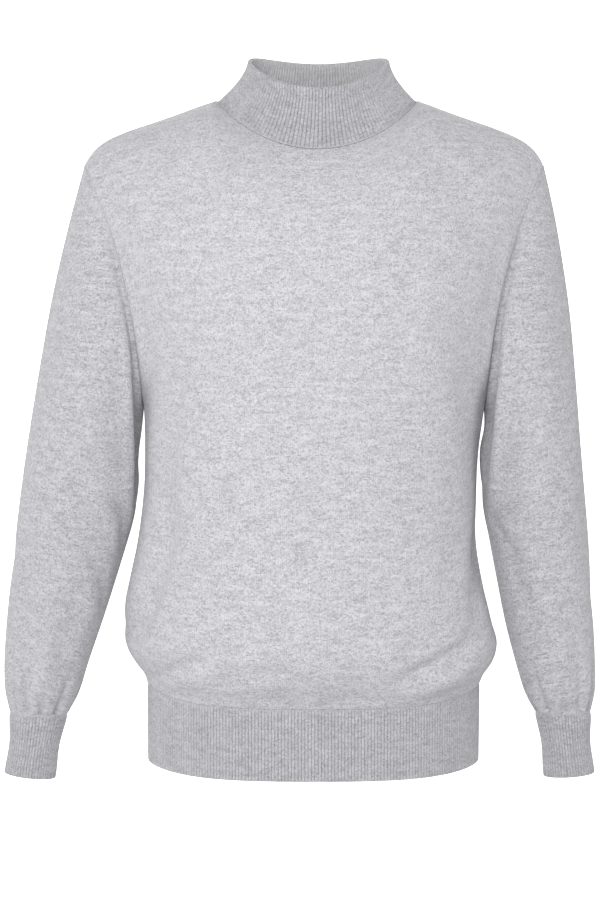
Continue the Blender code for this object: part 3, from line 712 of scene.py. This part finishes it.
# %% [markdown]
# ## Hem band and cuffs
#
# Each is a rib tube that is narrower than what it holds. Its lower edge is a soft round rim, because a rib
# starts with a tubular row that rolls over. The grid runs down the outer face, round the rim and up the
# inner face, so that the tube is one closed wall.

# %% Cuffs
CUFF_RIGHT_END = (307.0, -663.5, 257.0, -669.5, 25.0)
CUFF_LEFT_END = (278.0, -663.5, 228.0, -667.5, 25.0)
CUFF_RIBS = 54
CUFF_ROWS = 20
CUFF_WAIST = 2.2
FINE_RIB_HEIGHT = 0.65
SEAM_DRAW = (0.5, 2.0)          # how far a seam draws the ribbing in, and over what height
RIBS_GROW = 3.0                 # height over which the ribs rise to their full relief
RIM_WALK = 1.8                  # how far past the lower edge the inside's stitches start, in thicknesses


def level_rows(count):
    """Shares of a band's height, closer together at its two ends."""
    share = np.linspace(0, 1, count + 1)
    return share - 0.5 * np.sin(2 * math.pi * share) / (2 * math.pi)


def rib_tube(name, count, turns, rib_height, rows, length, ring_at, down, waist):
    """A rib tube with a rolled rim. `ring_at` gives the ring at a share of its height, with the directions
    out of it; `down` leads out of its lower mouth, and `waist` is how far its middle is drawn in."""
    wave = rib_wave(turns, count, rib_height)
    outer, inner, heights = [], [], []
    for share in level_rows(rows):
        centre, outward = ring_at(share)
        drawn_in = SEAM_DRAW[0] * math.exp(-(share * length / SEAM_DRAW[1]) ** 2)
        drawn_in += waist * math.sin(math.pi * share) ** 2
        relief = wave * smoothstep(0.0, RIBS_GROW, share * length) - drawn_in
        outer.append(centre + outward * relief[:, None])
        inner.append(centre + outward * (relief - RIBBING)[:, None])
        heights.append(share * length)
    rim = []
    middle = (outer[-1] + inner[-1]) / 2
    for turn in rim_steps(6):
        rim.append(middle + (outer[-1] - middle) * math.cos(turn) + down * (RIBBING / 2 * math.sin(turn)))
        heights.append(length + RIBBING / 2 * turn)
    loops = np.concatenate([outer, rim, inner[::-1]])
    heights = np.array(heights + [length + RIM_WALK * RIBBING + length - h for h in heights[:rows + 1][::-1]])
    around = np.linspace(0, count * RIB_PITCH, len(turns) + 1)
    stitches = np.stack(np.broadcast_arrays(around[None, :], heights[:, None]), axis=-1)
    stitches = np.concatenate([stitches, stitches[-1:]])
    return tube_piece(name, loops, stitches)


def cuff(name, side, upper, lower):
    turns = tube_turns(CUFF_RIBS, 8)
    angle = 2 * math.pi * turns

    def ring_at(share):
        section = [a + (b - a) * share for a, b in zip(upper, lower)]
        centre = ring(section, angle, 0.0, SLEEVE_LEAN, side)
        if share == 0:
            centre = centre + ring_axis(section, side) * SEAM_GAP / 2
        return centre, ring_outward(section, angle, side)

    return rib_tube(name, CUFF_RIBS, turns, FINE_RIB_HEIGHT, CUFF_ROWS, math.dist(upper[:2], lower[:2]),
                    ring_at, ring_axis(lower, side), CUFF_WAIST)


cuff_right = cuff("right_cuff", -1, SLEEVE_RIGHT[-1], CUFF_RIGHT_END)
cuff_left = cuff("left_cuff", 1, SLEEVE_LEFT[-1], CUFF_LEFT_END)

# %% Hem band
HEM_END = (-652.0, 165.5, 164.0, 121.0, 113.0)
HEM_END_DIP = 5.0
HEM_RIBS = 286
HEM_ROWS = 16
HEM_RIB_HEIGHT = 0.75


def level_outward(points):
    """Level directions that lead out of a ring of points."""
    tangent = np.roll(points, -1, axis=0) - np.roll(points, 1, axis=0)
    outward = unit(np.stack([tangent[:, 1], -tangent[:, 0], np.zeros(len(points))], axis=-1))
    return outward * np.sign(np.sum(outward * points, axis=-1))[:, None]


def hem_ring(section, dip, angle):
    """A ring round the body, from the front's middle toward +X, and its outward directions."""
    height, right, left, front_depth, back_depth = section
    x = np.where(np.sin(angle) < 0, right, left) * np.sin(angle)
    depth = np.where(np.cos(angle) > 0, front_depth, back_depth)
    across = 1 - np.abs(np.arccos(np.clip(np.cos(angle), -1, 1)) / (math.pi / 2) - 1)
    fullness = 1 + BODY_SQUARENESS * np.sin(angle) ** 2 * (1 - across ** 2)
    points = np.stack([x, -depth * np.cos(angle) * fullness,
                       height - dip * (1 - np.sin(angle) ** 4)], axis=-1)
    return points, level_outward(points)


def even_angles(turns):
    """Angles of points that lie evenly spaced round the hem, for their shares of the way round."""
    angle = np.linspace(0.0, 2 * math.pi, 1441)
    points, _ = hem_ring(BODY_SECTIONS[0], 0.0, angle)
    walked = lengths_along(points, 0)
    return np.interp(turns * walked[-1], walked, angle)


def hem_band(name):
    turns = tube_turns(HEM_RIBS, 6)
    angle = even_angles(turns)

    def ring_at(share):
        section = [a + (b - a) * share for a, b in zip(BODY_SECTIONS[0], HEM_END)]
        centre, outward = hem_ring(section, HEM_SEAM_DIP + (HEM_END_DIP - HEM_SEAM_DIP) * share, angle)
        if share == 0:
            centre = centre - (0, 0, SEAM_GAP / 2)
        return centre, outward

    return rib_tube(name, HEM_RIBS, turns, HEM_RIB_HEIGHT, HEM_ROWS, BODY_SECTIONS[0][0] - HEM_END[0],
                    ring_at, np.array([0.0, 0.0, -1.0]), 0.0)


hem = hem_band("hem_band")

# %% [markdown]
# ## The collar
#
# The neck band is a rib strip of twice its finished height. It is linked round the neckline, turned over and
# linked down again inside, so it stands up double, with a round soft fold at its top. It flares from the
# neckline and turns upright. The ribs run from the outer seam up over the fold and down the inside. As the
# band is double, they stand forward on both of its faces.

# %% Collar
COLLAR_WALL = 4.4
COLLAR_TOP_CENTRE = 4.5
COLLAR_TOP_HALF_WIDTH = 71.0
COLLAR_TOP_FRONT = 60.0
COLLAR_TOP_BACK = 56.0
COLLAR_TOP_HEIGHTS = (5.0, 42.0, 48.5)
COLLAR_FLARE = 1.55
COLLAR_RIBS = 144
COLLAR_RIB_HEIGHT = 0.75
COLLAR_ROWS = 30
COLLAR_LIP = (1.5, 0.065)       # how far the folded top edge stands out, and its half height as a share


def neck_ring(angle, inset):
    """Points round the neckline from the front's middle toward +X."""
    bend = np.arcsin(np.clip(np.sin(angle), -1, 1))
    ahead = np.cos(angle)[:, None] > 1e-9
    return np.where(ahead, neckline(-1, bend, inset), neckline(1, bend, inset))


def collar_ring(share, angle, inset):
    """A ring of the collar at a share of its height, `inset` inside its outer face."""
    cos, sin = np.cos(angle), np.sin(angle)
    front_height, side_height, back_height = COLLAR_TOP_HEIGHTS
    swing, sag = (front_height - back_height) / 2, (front_height + back_height) / 4 - side_height / 2
    top = np.stack([COLLAR_TOP_CENTRE + (COLLAR_TOP_HALF_WIDTH - inset) * sin,
                    (inset - np.where(cos > 0, COLLAR_TOP_FRONT, COLLAR_TOP_BACK)) * cos,
                    side_height + sag + swing * cos + sag * np.cos(2 * angle)], axis=-1)
    seam = neck_ring(angle, inset + SEAM_GAP)
    points = top + (seam - top) * (1 - share) ** COLLAR_FLARE
    points[:, 2] = seam[:, 2] + (top[:, 2] - seam[:, 2]) * share + SEAM_GAP / 2
    return points


def collar(name):
    turns = tube_turns(COLLAR_RIBS, 6)
    angle = 2 * math.pi * turns
    wave = rib_wave(turns, COLLAR_RIBS, COLLAR_RIB_HEIGHT)[:, None]
    outer, inner = [], []
    for share in level_rows(COLLAR_ROWS):
        fade = smoothstep(0.0, 0.05, share) * (1 - 0.45 * smoothstep(0.9, 0.96, share))
        points = collar_ring(share, angle, 0.0)
        lip = math.exp(-((1 - share) / COLLAR_LIP[1]) ** 2) - 0.75 * math.exp(-((share - 0.84) / 0.05) ** 2)
        ahead = smoothstep(0.1, 0.75, np.cos(angle))[:, None]
        drawn_in = 0.6 * math.exp(-(share / 0.03) ** 2) - COLLAR_LIP[0] * lip * ahead
        outer.append(points + level_outward(points) * (wave * fade - drawn_in))
        points = collar_ring(share, angle, COLLAR_WALL)
        inner.append(points - level_outward(points) * wave * fade)
    rim = []
    middle = (outer[-1] + inner[-1]) / 2
    for turn in rim_steps(8):
        rim.append(middle + (outer[-1] - middle) * math.cos(turn)
                   + np.array([0, 0, 1.0]) * (COLLAR_WALL / 2 + wave) * math.sin(turn))
    loops = np.concatenate([outer, rim, inner[::-1]])
    closed = close(loops, 1)
    flat_v = lengths_along(closed, 0)
    print(f"{name}: {flat_v[COLLAR_ROWS].min():.0f} to {flat_v[COLLAR_ROWS].max():.0f} mm up its outer face,",
          f"{lengths_along(closed, 1)[COLLAR_ROWS // 2, -1]:.0f} mm round")
    flat_u = np.broadcast_to(np.linspace(0, COLLAR_RIBS * RIB_PITCH, len(angle) + 1), flat_v.shape)
    stitches = np.stack([flat_u, flat_v], axis=-1)
    stitches = np.concatenate([stitches, stitches[-1:]])
    return tube_piece(name, loops, stitches)


neck_band = collar("neck_band")

# %% [markdown]
# ## Linking
#
# The pieces are joined stitch to stitch by a fine chain that lies in the groove between them. A chain is a
# thin tube along the seam, pressed flat, with a chevron in it for each stitch. Modelling every loop of
# yarn would take hundreds of faces a stitch, and at this size none of it would show.

# %% A chain along a path
CHAIN_PITCH = 2.3
CHAIN_STEPS = 6
CHAIN_SIDES = 6
CHEVRON = 1.6                   # how far a stitch's sides lie behind its middle, with 2 pi to a stitch


def chain(name, path, outward, half_width=1.0, half_height=0.55, closed=False):
    """Chain stitches along a path (mm), lying on the cloth whose outward directions are given."""
    length = lengths_along(path, 0)
    count = int(round(length[-1] / CHAIN_PITCH)) * CHAIN_STEPS
    at = np.linspace(0, length[-1], count + 1)
    centre = np.stack([np.interp(at, length, path[:, axis]) for axis in range(3)], axis=-1)
    up = unit(np.stack([np.interp(at, length, outward[:, axis]) for axis in range(3)], axis=-1))
    tangent = unit(np.gradient(centre, axis=0))
    if closed:
        tangent[0] = tangent[-1] = unit(tangent[0] + tangent[-1])
    aside = unit(np.cross(tangent, up))
    up = np.cross(aside, tangent)
    turn = 2 * math.pi * np.arange(CHAIN_SIDES + 1) / CHAIN_SIDES
    stitch = length[-1] / (count / CHAIN_STEPS)
    phase = 2 * math.pi * at[:, None] / stitch - CHEVRON * np.abs(np.sin(turn))[None, :]
    swell = (1 + 0.28 * np.cos(phase))[..., None]
    places = (centre[:, None] + aside[:, None] * (half_width * np.sin(turn))[None, :, None] * swell
              + up[:, None] * (half_height * np.cos(turn))[None, :, None] * swell)
    stitches = np.stack(np.broadcast_arrays(turn[None, :] * half_width, at[:, None]), axis=-1)
    bm = lay_grid(places, stitches)
    weld_ends(bm, *places.shape[:2], rows_too=closed)
    if not closed:
        bmesh.ops.holes_fill(bm, edges=[edge for edge in bm.edges if edge.is_boundary], sides=0)
    return finish_piece(name, bm)


# %% Chains on the sweater's seams
full_turn = np.linspace(0, 2 * math.pi, 721)
chains = {}


def link(name, path, outward, **shape):
    if np.ndim(outward) == 1:
        outward = np.tile(outward, (len(path), 1))
    chains[name] = chain(name, path, outward, **shape)


neck_path = neck_ring(full_turn, 0.7)
neck_path[:, 2] += 0.2
link("neck_linking", neck_path, unit(close(level_outward(neck_path[:-1])) + (0, 0, 0.9)), closed=True)

for side, word, sections in ((-1, "right", SLEEVE_RIGHT), (1, "left", SLEEVE_LEFT)):
    path, outward = armhole(side, full_turn)
    link(f"{word}_armhole_linking", path - outward * 1.1, outward, closed=True)

    heights = np.linspace(-575.0, -301.0, 140)
    x = side * smooth_column(BODY_SECTIONS, 1 if side < 0 else 2, heights)
    path = np.stack([x - side * 1.2, np.zeros_like(x), heights], axis=-1)
    link(f"{word}_side_linking", path, [side, 0.0, 0.0], half_width=0.8)

    along = np.linspace(0.01, 0.985, 60)
    start = NECK_CENTRE + side * NECK_HALF_WIDTH
    x = start + along * (side * SHOULDER_TIP[0] - start)
    path = np.stack([x, np.zeros_like(along), shoulder_line(along) - 1.2], axis=-1)
    link(f"{word}_shoulder_linking", path, [side * 0.3, 0.0, 1.0], half_width=0.8)

    outward = ring_outward(sections[-1], full_turn, side)
    path = ring(sections[-1], full_turn, 0.0, SLEEVE_LEAN, side) - outward * 0.9
    link(f"{word}_cuff_linking", path, outward, closed=True)

    last = len(sections) - 1
    underarm = np.array([math.pi])
    path, outward = [], []
    for place in np.linspace(0.1, last - 0.05, 120):
        section = sleeve_section(sections, place)
        out = ring_outward(section, underarm, side)[0]
        edge = ring(section, underarm, 0.0, SLEEVE_LEAN * (place / last) ** 2, side)[0]
        path.append(edge - out * 0.6)
        outward.append(out)
    link(f"{word}_underarm_linking", np.array(path), np.array(outward), half_width=0.8)

path, outward = hem_ring(BODY_SECTIONS[0], HEM_SEAM_DIP, full_turn[:-1])
link("hem_linking", close(path - outward * 0.9), close(outward), closed=True)

# %% [markdown]
# ## Shader maths
#
# A knit's pattern is arithmetic on its flat coordinates, and arithmetic reads best as arithmetic. A small
# class holds a socket and turns +, -, * and / into Math nodes. Every other node comes from one method.

# %% Sockets that can be added and multiplied
class Wire:
    """A value in a material. Python's operators on it add Math nodes."""

    def __init__(self, bench, socket):
        self.bench, self.socket = bench, socket

    def maths(self, operation, *values):
        return self.bench.node("ShaderNodeMath", {"operation": operation}, dict(enumerate(values)))

    def __add__(self, other):
        return self.maths("ADD", self, other)

    def __sub__(self, other):
        return self.maths("SUBTRACT", self, other)

    def __rsub__(self, other):
        return self.maths("SUBTRACT", other, self)

    def __mul__(self, other):
        return self.maths("MULTIPLY", self, other)

    def __truediv__(self, other):
        return self.maths("DIVIDE", self, other)

    def __rtruediv__(self, other):
        return self.maths("DIVIDE", other, self)

    def __pow__(self, other):
        return self.maths("POWER", self, other)

    def __abs__(self):
        return self.maths("ABSOLUTE", self)

    __radd__, __rmul__ = __add__, __mul__

    def floor(self):
        return self.maths("FLOOR", self)

    def fraction(self):
        return self.maths("FRACT", self)

    def clamped(self, start, end):
        """0 at `start`, 1 at `end`, softly."""
        return self.bench.node("ShaderNodeMapRange", {"interpolation_type": "SMOOTHSTEP"},
                               {"Value": self, "From Min": start, "From Max": end})


class Bench:
    """Where one material is put together."""

    def __init__(self, name):
        self.material = bpy.data.materials.new(name)
        self.material.use_nodes = True
        self.tree = self.material.node_tree
        self.shader = self.tree.nodes["Principled BSDF"]

    def node(self, kind, settings=None, sockets=None, output=0):
        """Add a node: its settings first, then the values or links of its sockets. Returns one output."""
        node = self.tree.nodes.new(kind)
        for setting, value in (settings or {}).items():
            setattr(node, setting, value)
        for socket, value in (sockets or {}).items():
            self.feed(node.inputs[socket], value)
        return Wire(self, node.outputs[output])

    def feed(self, socket, value):
        if isinstance(value, Wire):
            self.tree.links.new(value.socket, socket)
        else:
            socket.default_value = value

    def mix(self, share, first, second, blend="MIX"):
        """Mix two colours."""
        return self.node("ShaderNodeMix", {"data_type": "RGBA", "blend_type": blend},
                         {0: share, 6: first, 7: second}, output=2)

    def join(self, x, y):
        return self.node("ShaderNodeCombineXYZ", {}, {0: x, 1: y})


# %% [markdown]
# ## Marl
#
# Marl yarn is spun from pale and dark wool that was never fully mixed, so its tone wanders along the thread
# and changes a little from stitch to stitch. In plain knit the thread runs from side to side, one course
# above the other, and the tone shows as short level dashes over a fine grain. So the pattern is drawn in the
# piece's own flat coordinates: every course gets its own stretch of noise, and every short step along it a
# tone of its own. The stitches are rows of slanting legs in the bump, and the groove between two wales gets
# a little painted shade. In a rib the wales that lie back are in shade, so the furrows get painted shade too.
#
# The real garment is knitted from one yarn. The sleeves and the ribs are drawn a little darker than the body,
# as painted shade, and the inside of the neck band a little paler than its outside, as painted light, to balance
# the light of this studio.

# %% A knit material
def knit_material(name, pale, dark, wale, course, dash, stitch_depth, furrow=0.0, through=0.0):
    """A knit of marl yarn. Sizes are in mm: one stitch, the dashes along a course and the stitch's relief.
    `furrow` is how much painted shade the furrows get. `through` is how much painted light makes the side that
    faces the neck's middle paler, and where it is given the painted furrow shade also fades toward the neck's
    sides."""
    bench = Bench(name)
    flat = bench.node("ShaderNodeUVMap", {"uv_map": "knit"})
    u = bench.node("ShaderNodeSeparateXYZ", {}, {0: flat})
    v = Wire(bench, u.socket.node.outputs[1])
    place = bench.node("ShaderNodeTexCoord", {}, {}, output=3)

    # The tone: a stretch of noise for each course, short steps along it, and slow level clouds.
    row = v / (course * MM)
    number = row.floor()
    start = bench.node("ShaderNodeTexWhiteNoise", {"noise_dimensions": "1D"}, {"W": number})
    thread = bench.node("ShaderNodeTexNoise", {"noise_dimensions": "2D"},
                        {"Vector": bench.join(u / (dash * MM) + start * 57.0, number * 0.37),
                         "Scale": 1.0, "Detail": 2.5, "Roughness": 0.8})
    stitch = bench.node("ShaderNodeTexWhiteNoise", {"noise_dimensions": "2D"},
                        {"Vector": bench.join((u / (wale * 0.62 * MM)).floor(), number)})
    cloud = bench.node("ShaderNodeTexNoise", {"noise_dimensions": "2D"},
                       {"Vector": bench.join(u / (24.0 * MM), v / (6.0 * MM)),
                        "Scale": 1.0, "Detail": 3.0, "Roughness": 0.7})
    fuzz = bench.node("ShaderNodeTexNoise", {"noise_dimensions": "3D"},
                      {"Vector": place, "Scale": 900.0, "Detail": 2.0, "Roughness": 0.6})
    dark_dash = (0.42 - thread).clamped(0.0, 0.06)
    # Painted shade: the groove between two wales is drawn a little darker.
    between = (abs((u / (wale * MM)).fraction() - 0.5) * 2.0).clamped(0.55, 1.0)
    tone = (0.59 + (thread - 0.5) * 0.7 + (stitch - 0.5) * 0.6 + (cloud - 0.5) * 0.9 - dark_dash * 0.38
            - between * 0.12)
    share = tone.maths("MINIMUM", tone.maths("MAXIMUM", tone, 0.0), 1.0)
    colour = bench.mix(share, (*dark, 1.0), (*pale, 1.0))
    # Painted shade in the rib's furrows, where the wales that lie back are in shade.
    if furrow:
        rib = (u / (RIB_PITCH * MM)).fraction()
        back = (abs(rib - 0.5) * 2.0).clamped(0.45, 1.0)
        # On the neck band the painted furrow shade fades toward the band's sides.
        if through:
            spread = abs(Wire(bench, bench.node("ShaderNodeSeparateXYZ", {}, {0: place}).socket))
            back = back * (1.0 - spread.clamped(0.025, 0.085) * 0.75)
        colour = bench.mix(back * furrow, colour, tuple(0.3 * value for value in dark) + (1.0,))
    # Painted light: the face that looks toward the neck's middle is mixed toward white.
    if through:
        inward = bench.node("ShaderNodeVectorMath", {"operation": "DOT_PRODUCT"},
                            {0: place, 1: bench.node("ShaderNodeNewGeometry", output=1)}, output=1)
        colour = bench.mix(inward.clamped(0.0, -0.03) * through, colour, (1.0, 1.0, 1.0, 1.0))
    bench.feed(bench.shader.inputs["Base Color"], colour)

    # The stitches: two slanting legs to a wale, mirrored about its middle.
    across = (u / (wale * MM)).fraction() - 0.5
    aside = abs(across) * 2.0
    leg = abs((row + aside * 0.9).fraction() - 0.5) * 2.0
    lobe = 1.0 - (aside * 2.0 - 1.0) ** 2.0
    height = (1.0 - leg ** 2.0) * 0.6 + lobe * 0.7 + (fuzz - 0.5) * 0.9
    bump = bench.node("ShaderNodeBump", {},
                      {"Strength": 0.55, "Distance": stitch_depth * MM, "Height": height})
    bench.feed(bench.shader.inputs["Normal"], bump)

    for socket, value in (("Roughness", 0.93), ("Specular IOR Level", 0.2), ("Sheen Weight", 0.38),
                          ("Sheen Roughness", 0.5)):
        bench.shader.inputs[socket].default_value = value
    print(name, "has", len(bench.tree.nodes), "nodes")
    return bench.material


plain = {"wale": 1.9, "course": 1.2, "dash": 5.0, "stitch_depth": 0.35}
ribbed = {"wale": 1.75, "course": 1.1, "dash": 3.5, "stitch_depth": 0.3}
jersey = knit_material("grey marl jersey", (0.74, 0.735, 0.765), (0.40, 0.395, 0.425), **plain)
# Painted shade: the body's yarn, drawn darker for the sleeves.
sleeve_jersey_painted_shade = knit_material("grey marl jersey, painted sleeve shade", (0.69, 0.685, 0.712), (0.37, 0.365, 0.392), **plain)
# Painted shade: the rib yarns are drawn darker than the body's jersey, for the shade of the corrugated rib.
rib_knit = knit_material("grey marl rib", (0.65, 0.645, 0.67), (0.34, 0.335, 0.36), **ribbed, furrow=0.28)
neck_knit = knit_material("grey marl neck rib", (0.64, 0.635, 0.66), (0.335, 0.33, 0.355), **ribbed,
                          furrow=0.4, through=0.17)
linking = knit_material("grey linking yarn", (0.66, 0.655, 0.68), (0.38, 0.375, 0.40), wale=1.2, course=1.2,
                        dash=3.0, stitch_depth=0.2)

for material, pieces in ((jersey, (front, back)), (sleeve_jersey_painted_shade, (sleeve_right, sleeve_left)),
                         (rib_knit, (hem, cuff_right, cuff_left)), (neck_knit, (neck_band,)),
                         (linking, chains.values())):
    for piece in pieces:
        piece.data.materials.append(material)

# %% [markdown]
# ## What each piece stands for
#
# Every cloth piece replaces one wall of the imported model and says its size when it is laid flat. A tube's
# size is its width, once round, by its height. The neck band's is the half that shows, as it is double.

# %% Each piece in place of its wall
def surface(piece):
    return sum(polygon.area for polygon in piece.data.polygons)


CLOTH = (  # piece, node, slot, flat size in m, how it is held, what it rests on, its linking, area in m2
    (front, "front", "jersey", (0.53, 0.66), "stretched", ["back"], ["neck_linking"], 0.285),
    (back, "back", "jersey", (0.51, 0.65), "stretched", ["front"],
     ["right_side_linking", "left_side_linking"], 0.275),
    (sleeve_right, "sleeve_right", "jersey", (0.44, 0.60), "hung", ["front", "back"],
     ["right_armhole_linking"], 0.15),
    (sleeve_left, "sleeve_left", "jersey", (0.44, 0.60), "hung", ["front", "back"],
     ["left_armhole_linking"], 0.143),
    (cuff_right, "cuff_right", "cuff_rib", (0.17, 0.065), "stretched", ["sleeve_right"],
     ["right_cuff_linking"], None),
    (cuff_left, "cuff_left", "cuff_rib", (0.17, 0.065), "stretched", ["sleeve_left"],
     ["left_cuff_linking"], None),
    (hem, "hem_rib", "hem_rib", (0.95, 0.077), "stretched", ["front", "back"], ["hem_linking"], None),
    (neck_band, "collar", "collar_rib", (0.48, 0.066), "stretched", ["front", "back"], [], None))

for piece, node, slot, flat, held, rests_on, carries, area in CLOTH:
    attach(piece, "root")
    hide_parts(node)
    print(f"{piece.name}: {surface(piece) / 2:.3f} m2 of cloth on a cut of {flat[0] * flat[1]:.3f} m2")
for piece in chains.values():
    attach(piece, "root")

# %% [markdown]
# ## The studio
#
# Pale knitwear is shown on white in soft light. One broad lamp stands low and almost in front, a little to
# the wearer's right, and two weaker ones stand near the sides. A lamp above would leave the shoulders pale
# and flat. The price of light this even is that long shallow folds show only faintly.
#
# The backdrop is one sheet that turns up from the floor in a wide curve, so that no line shows behind the
# sweater. Its curve and its upright part glow evenly, as a wall with lamps of its own would, and stay white.

# %% Backdrop
FLOOR, WALL, CURVE = -1.0, 3.0, 2.2      # height, distance behind and radius of the bend, in metres
HALF_FLOOR, WALL_HEIGHT = 3.0, 4.0
bm = bmesh.new()
bmesh.ops.create_grid(bm, x_segments=1, y_segments=1, size=HALF_FLOOR)
bmesh.ops.translate(bm, verts=bm.verts, vec=(0.0, WALL - HALF_FLOOR, FLOOR))
far_edge = [edge for edge in bm.edges if all(vert.co.y > 0.0 for vert in edge.verts)]
risen = bmesh.ops.extrude_edge_only(bm, edges=far_edge)["geom"]
risen_verts = [part for part in risen if isinstance(part, bmesh.types.BMVert)]
bmesh.ops.translate(bm, verts=risen_verts, vec=(0.0, 0.0, WALL_HEIGHT))
bmesh.ops.bevel(bm, geom=far_edge, offset=CURVE, offset_type="OFFSET", segments=24, profile=0.5,
                affect="EDGES", material=-1)
for face in bm.faces:
    face.material_index = 1 if face.calc_center_median().y > WALL - CURVE else 0
backdrop = finish_piece("backdrop", bm)
if backdrop.data.polygons[0].normal.z < 0:
    backdrop.data.flip_normals()
for name, tone, glow in (("white floor", (0.8, 0.8, 0.805, 1.0), 0.0),
                         ("lit white wall", (0.9, 0.9, 0.9, 1.0), 1.0)):
    bench = Bench(name)
    bench.shader.inputs["Base Color"].default_value = tone
    bench.shader.inputs["Roughness"].default_value = 0.9
    bench.shader.inputs["Emission Color"].default_value = (1.0, 1.0, 1.0, 1.0)
    bench.shader.inputs["Emission Strength"].default_value = glow
    # From behind the sheet is clear, so that the sweater's back can be looked at too.
    behind = bench.node("ShaderNodeNewGeometry", output=6)
    clear = bench.node("ShaderNodeBsdfTransparent")
    paper = Wire(bench, bench.shader.outputs[0])
    shown = bench.node("ShaderNodeMixShader", {}, {0: behind, 1: paper, 2: clear})
    bench.feed(bench.tree.nodes["Material Output"].inputs["Surface"], shown)
    backdrop.data.materials.append(bench.material)

# %% Lights
AIM = (0.0, 0.0, -0.18)


def soft_light(name, bearing, height, distance, size, watts):
    """A round lamp aimed at the chest. Bearing and height are in degrees, from the front toward +X and up."""
    turn, lift = math.radians(bearing), math.radians(height)
    lamp = bpy.data.lights.new(name, "AREA")
    lamp.shape, lamp.size, lamp.energy = "DISK", size, watts
    light = bpy.data.objects.new(name, lamp)
    bpy.context.scene.collection.objects.link(light)
    light.location = (AIM[0] + distance * math.sin(turn) * math.cos(lift),
                      AIM[1] - distance * math.cos(turn) * math.cos(lift), AIM[2] + distance * math.sin(lift))
    light.rotation_euler = (math.pi / 2 - lift, 0.0, turn)


# The side lamps are named as the camera sees them, so the left one is at the wearer's right.
soft_light("front", -8.0, 12.0, 1.9, 1.0, 21.0)
soft_light("left", -76.0, 7.0, 2.2, 1.1, 8.5)
soft_light("right", 70.0, 14.0, 2.2, 1.1, 7.5)

world = bpy.data.worlds.new("studio")
world.use_nodes = True
sky = world.node_tree.nodes["Background"]
sky.inputs["Color"].default_value = (1.0, 1.0, 1.0, 1.0)
sky.inputs["Strength"].default_value = 0.4
bpy.context.scene.world = world
bpy.context.scene.view_settings.view_transform = "Standard"
bpy.context.scene.view_settings.look = "None"
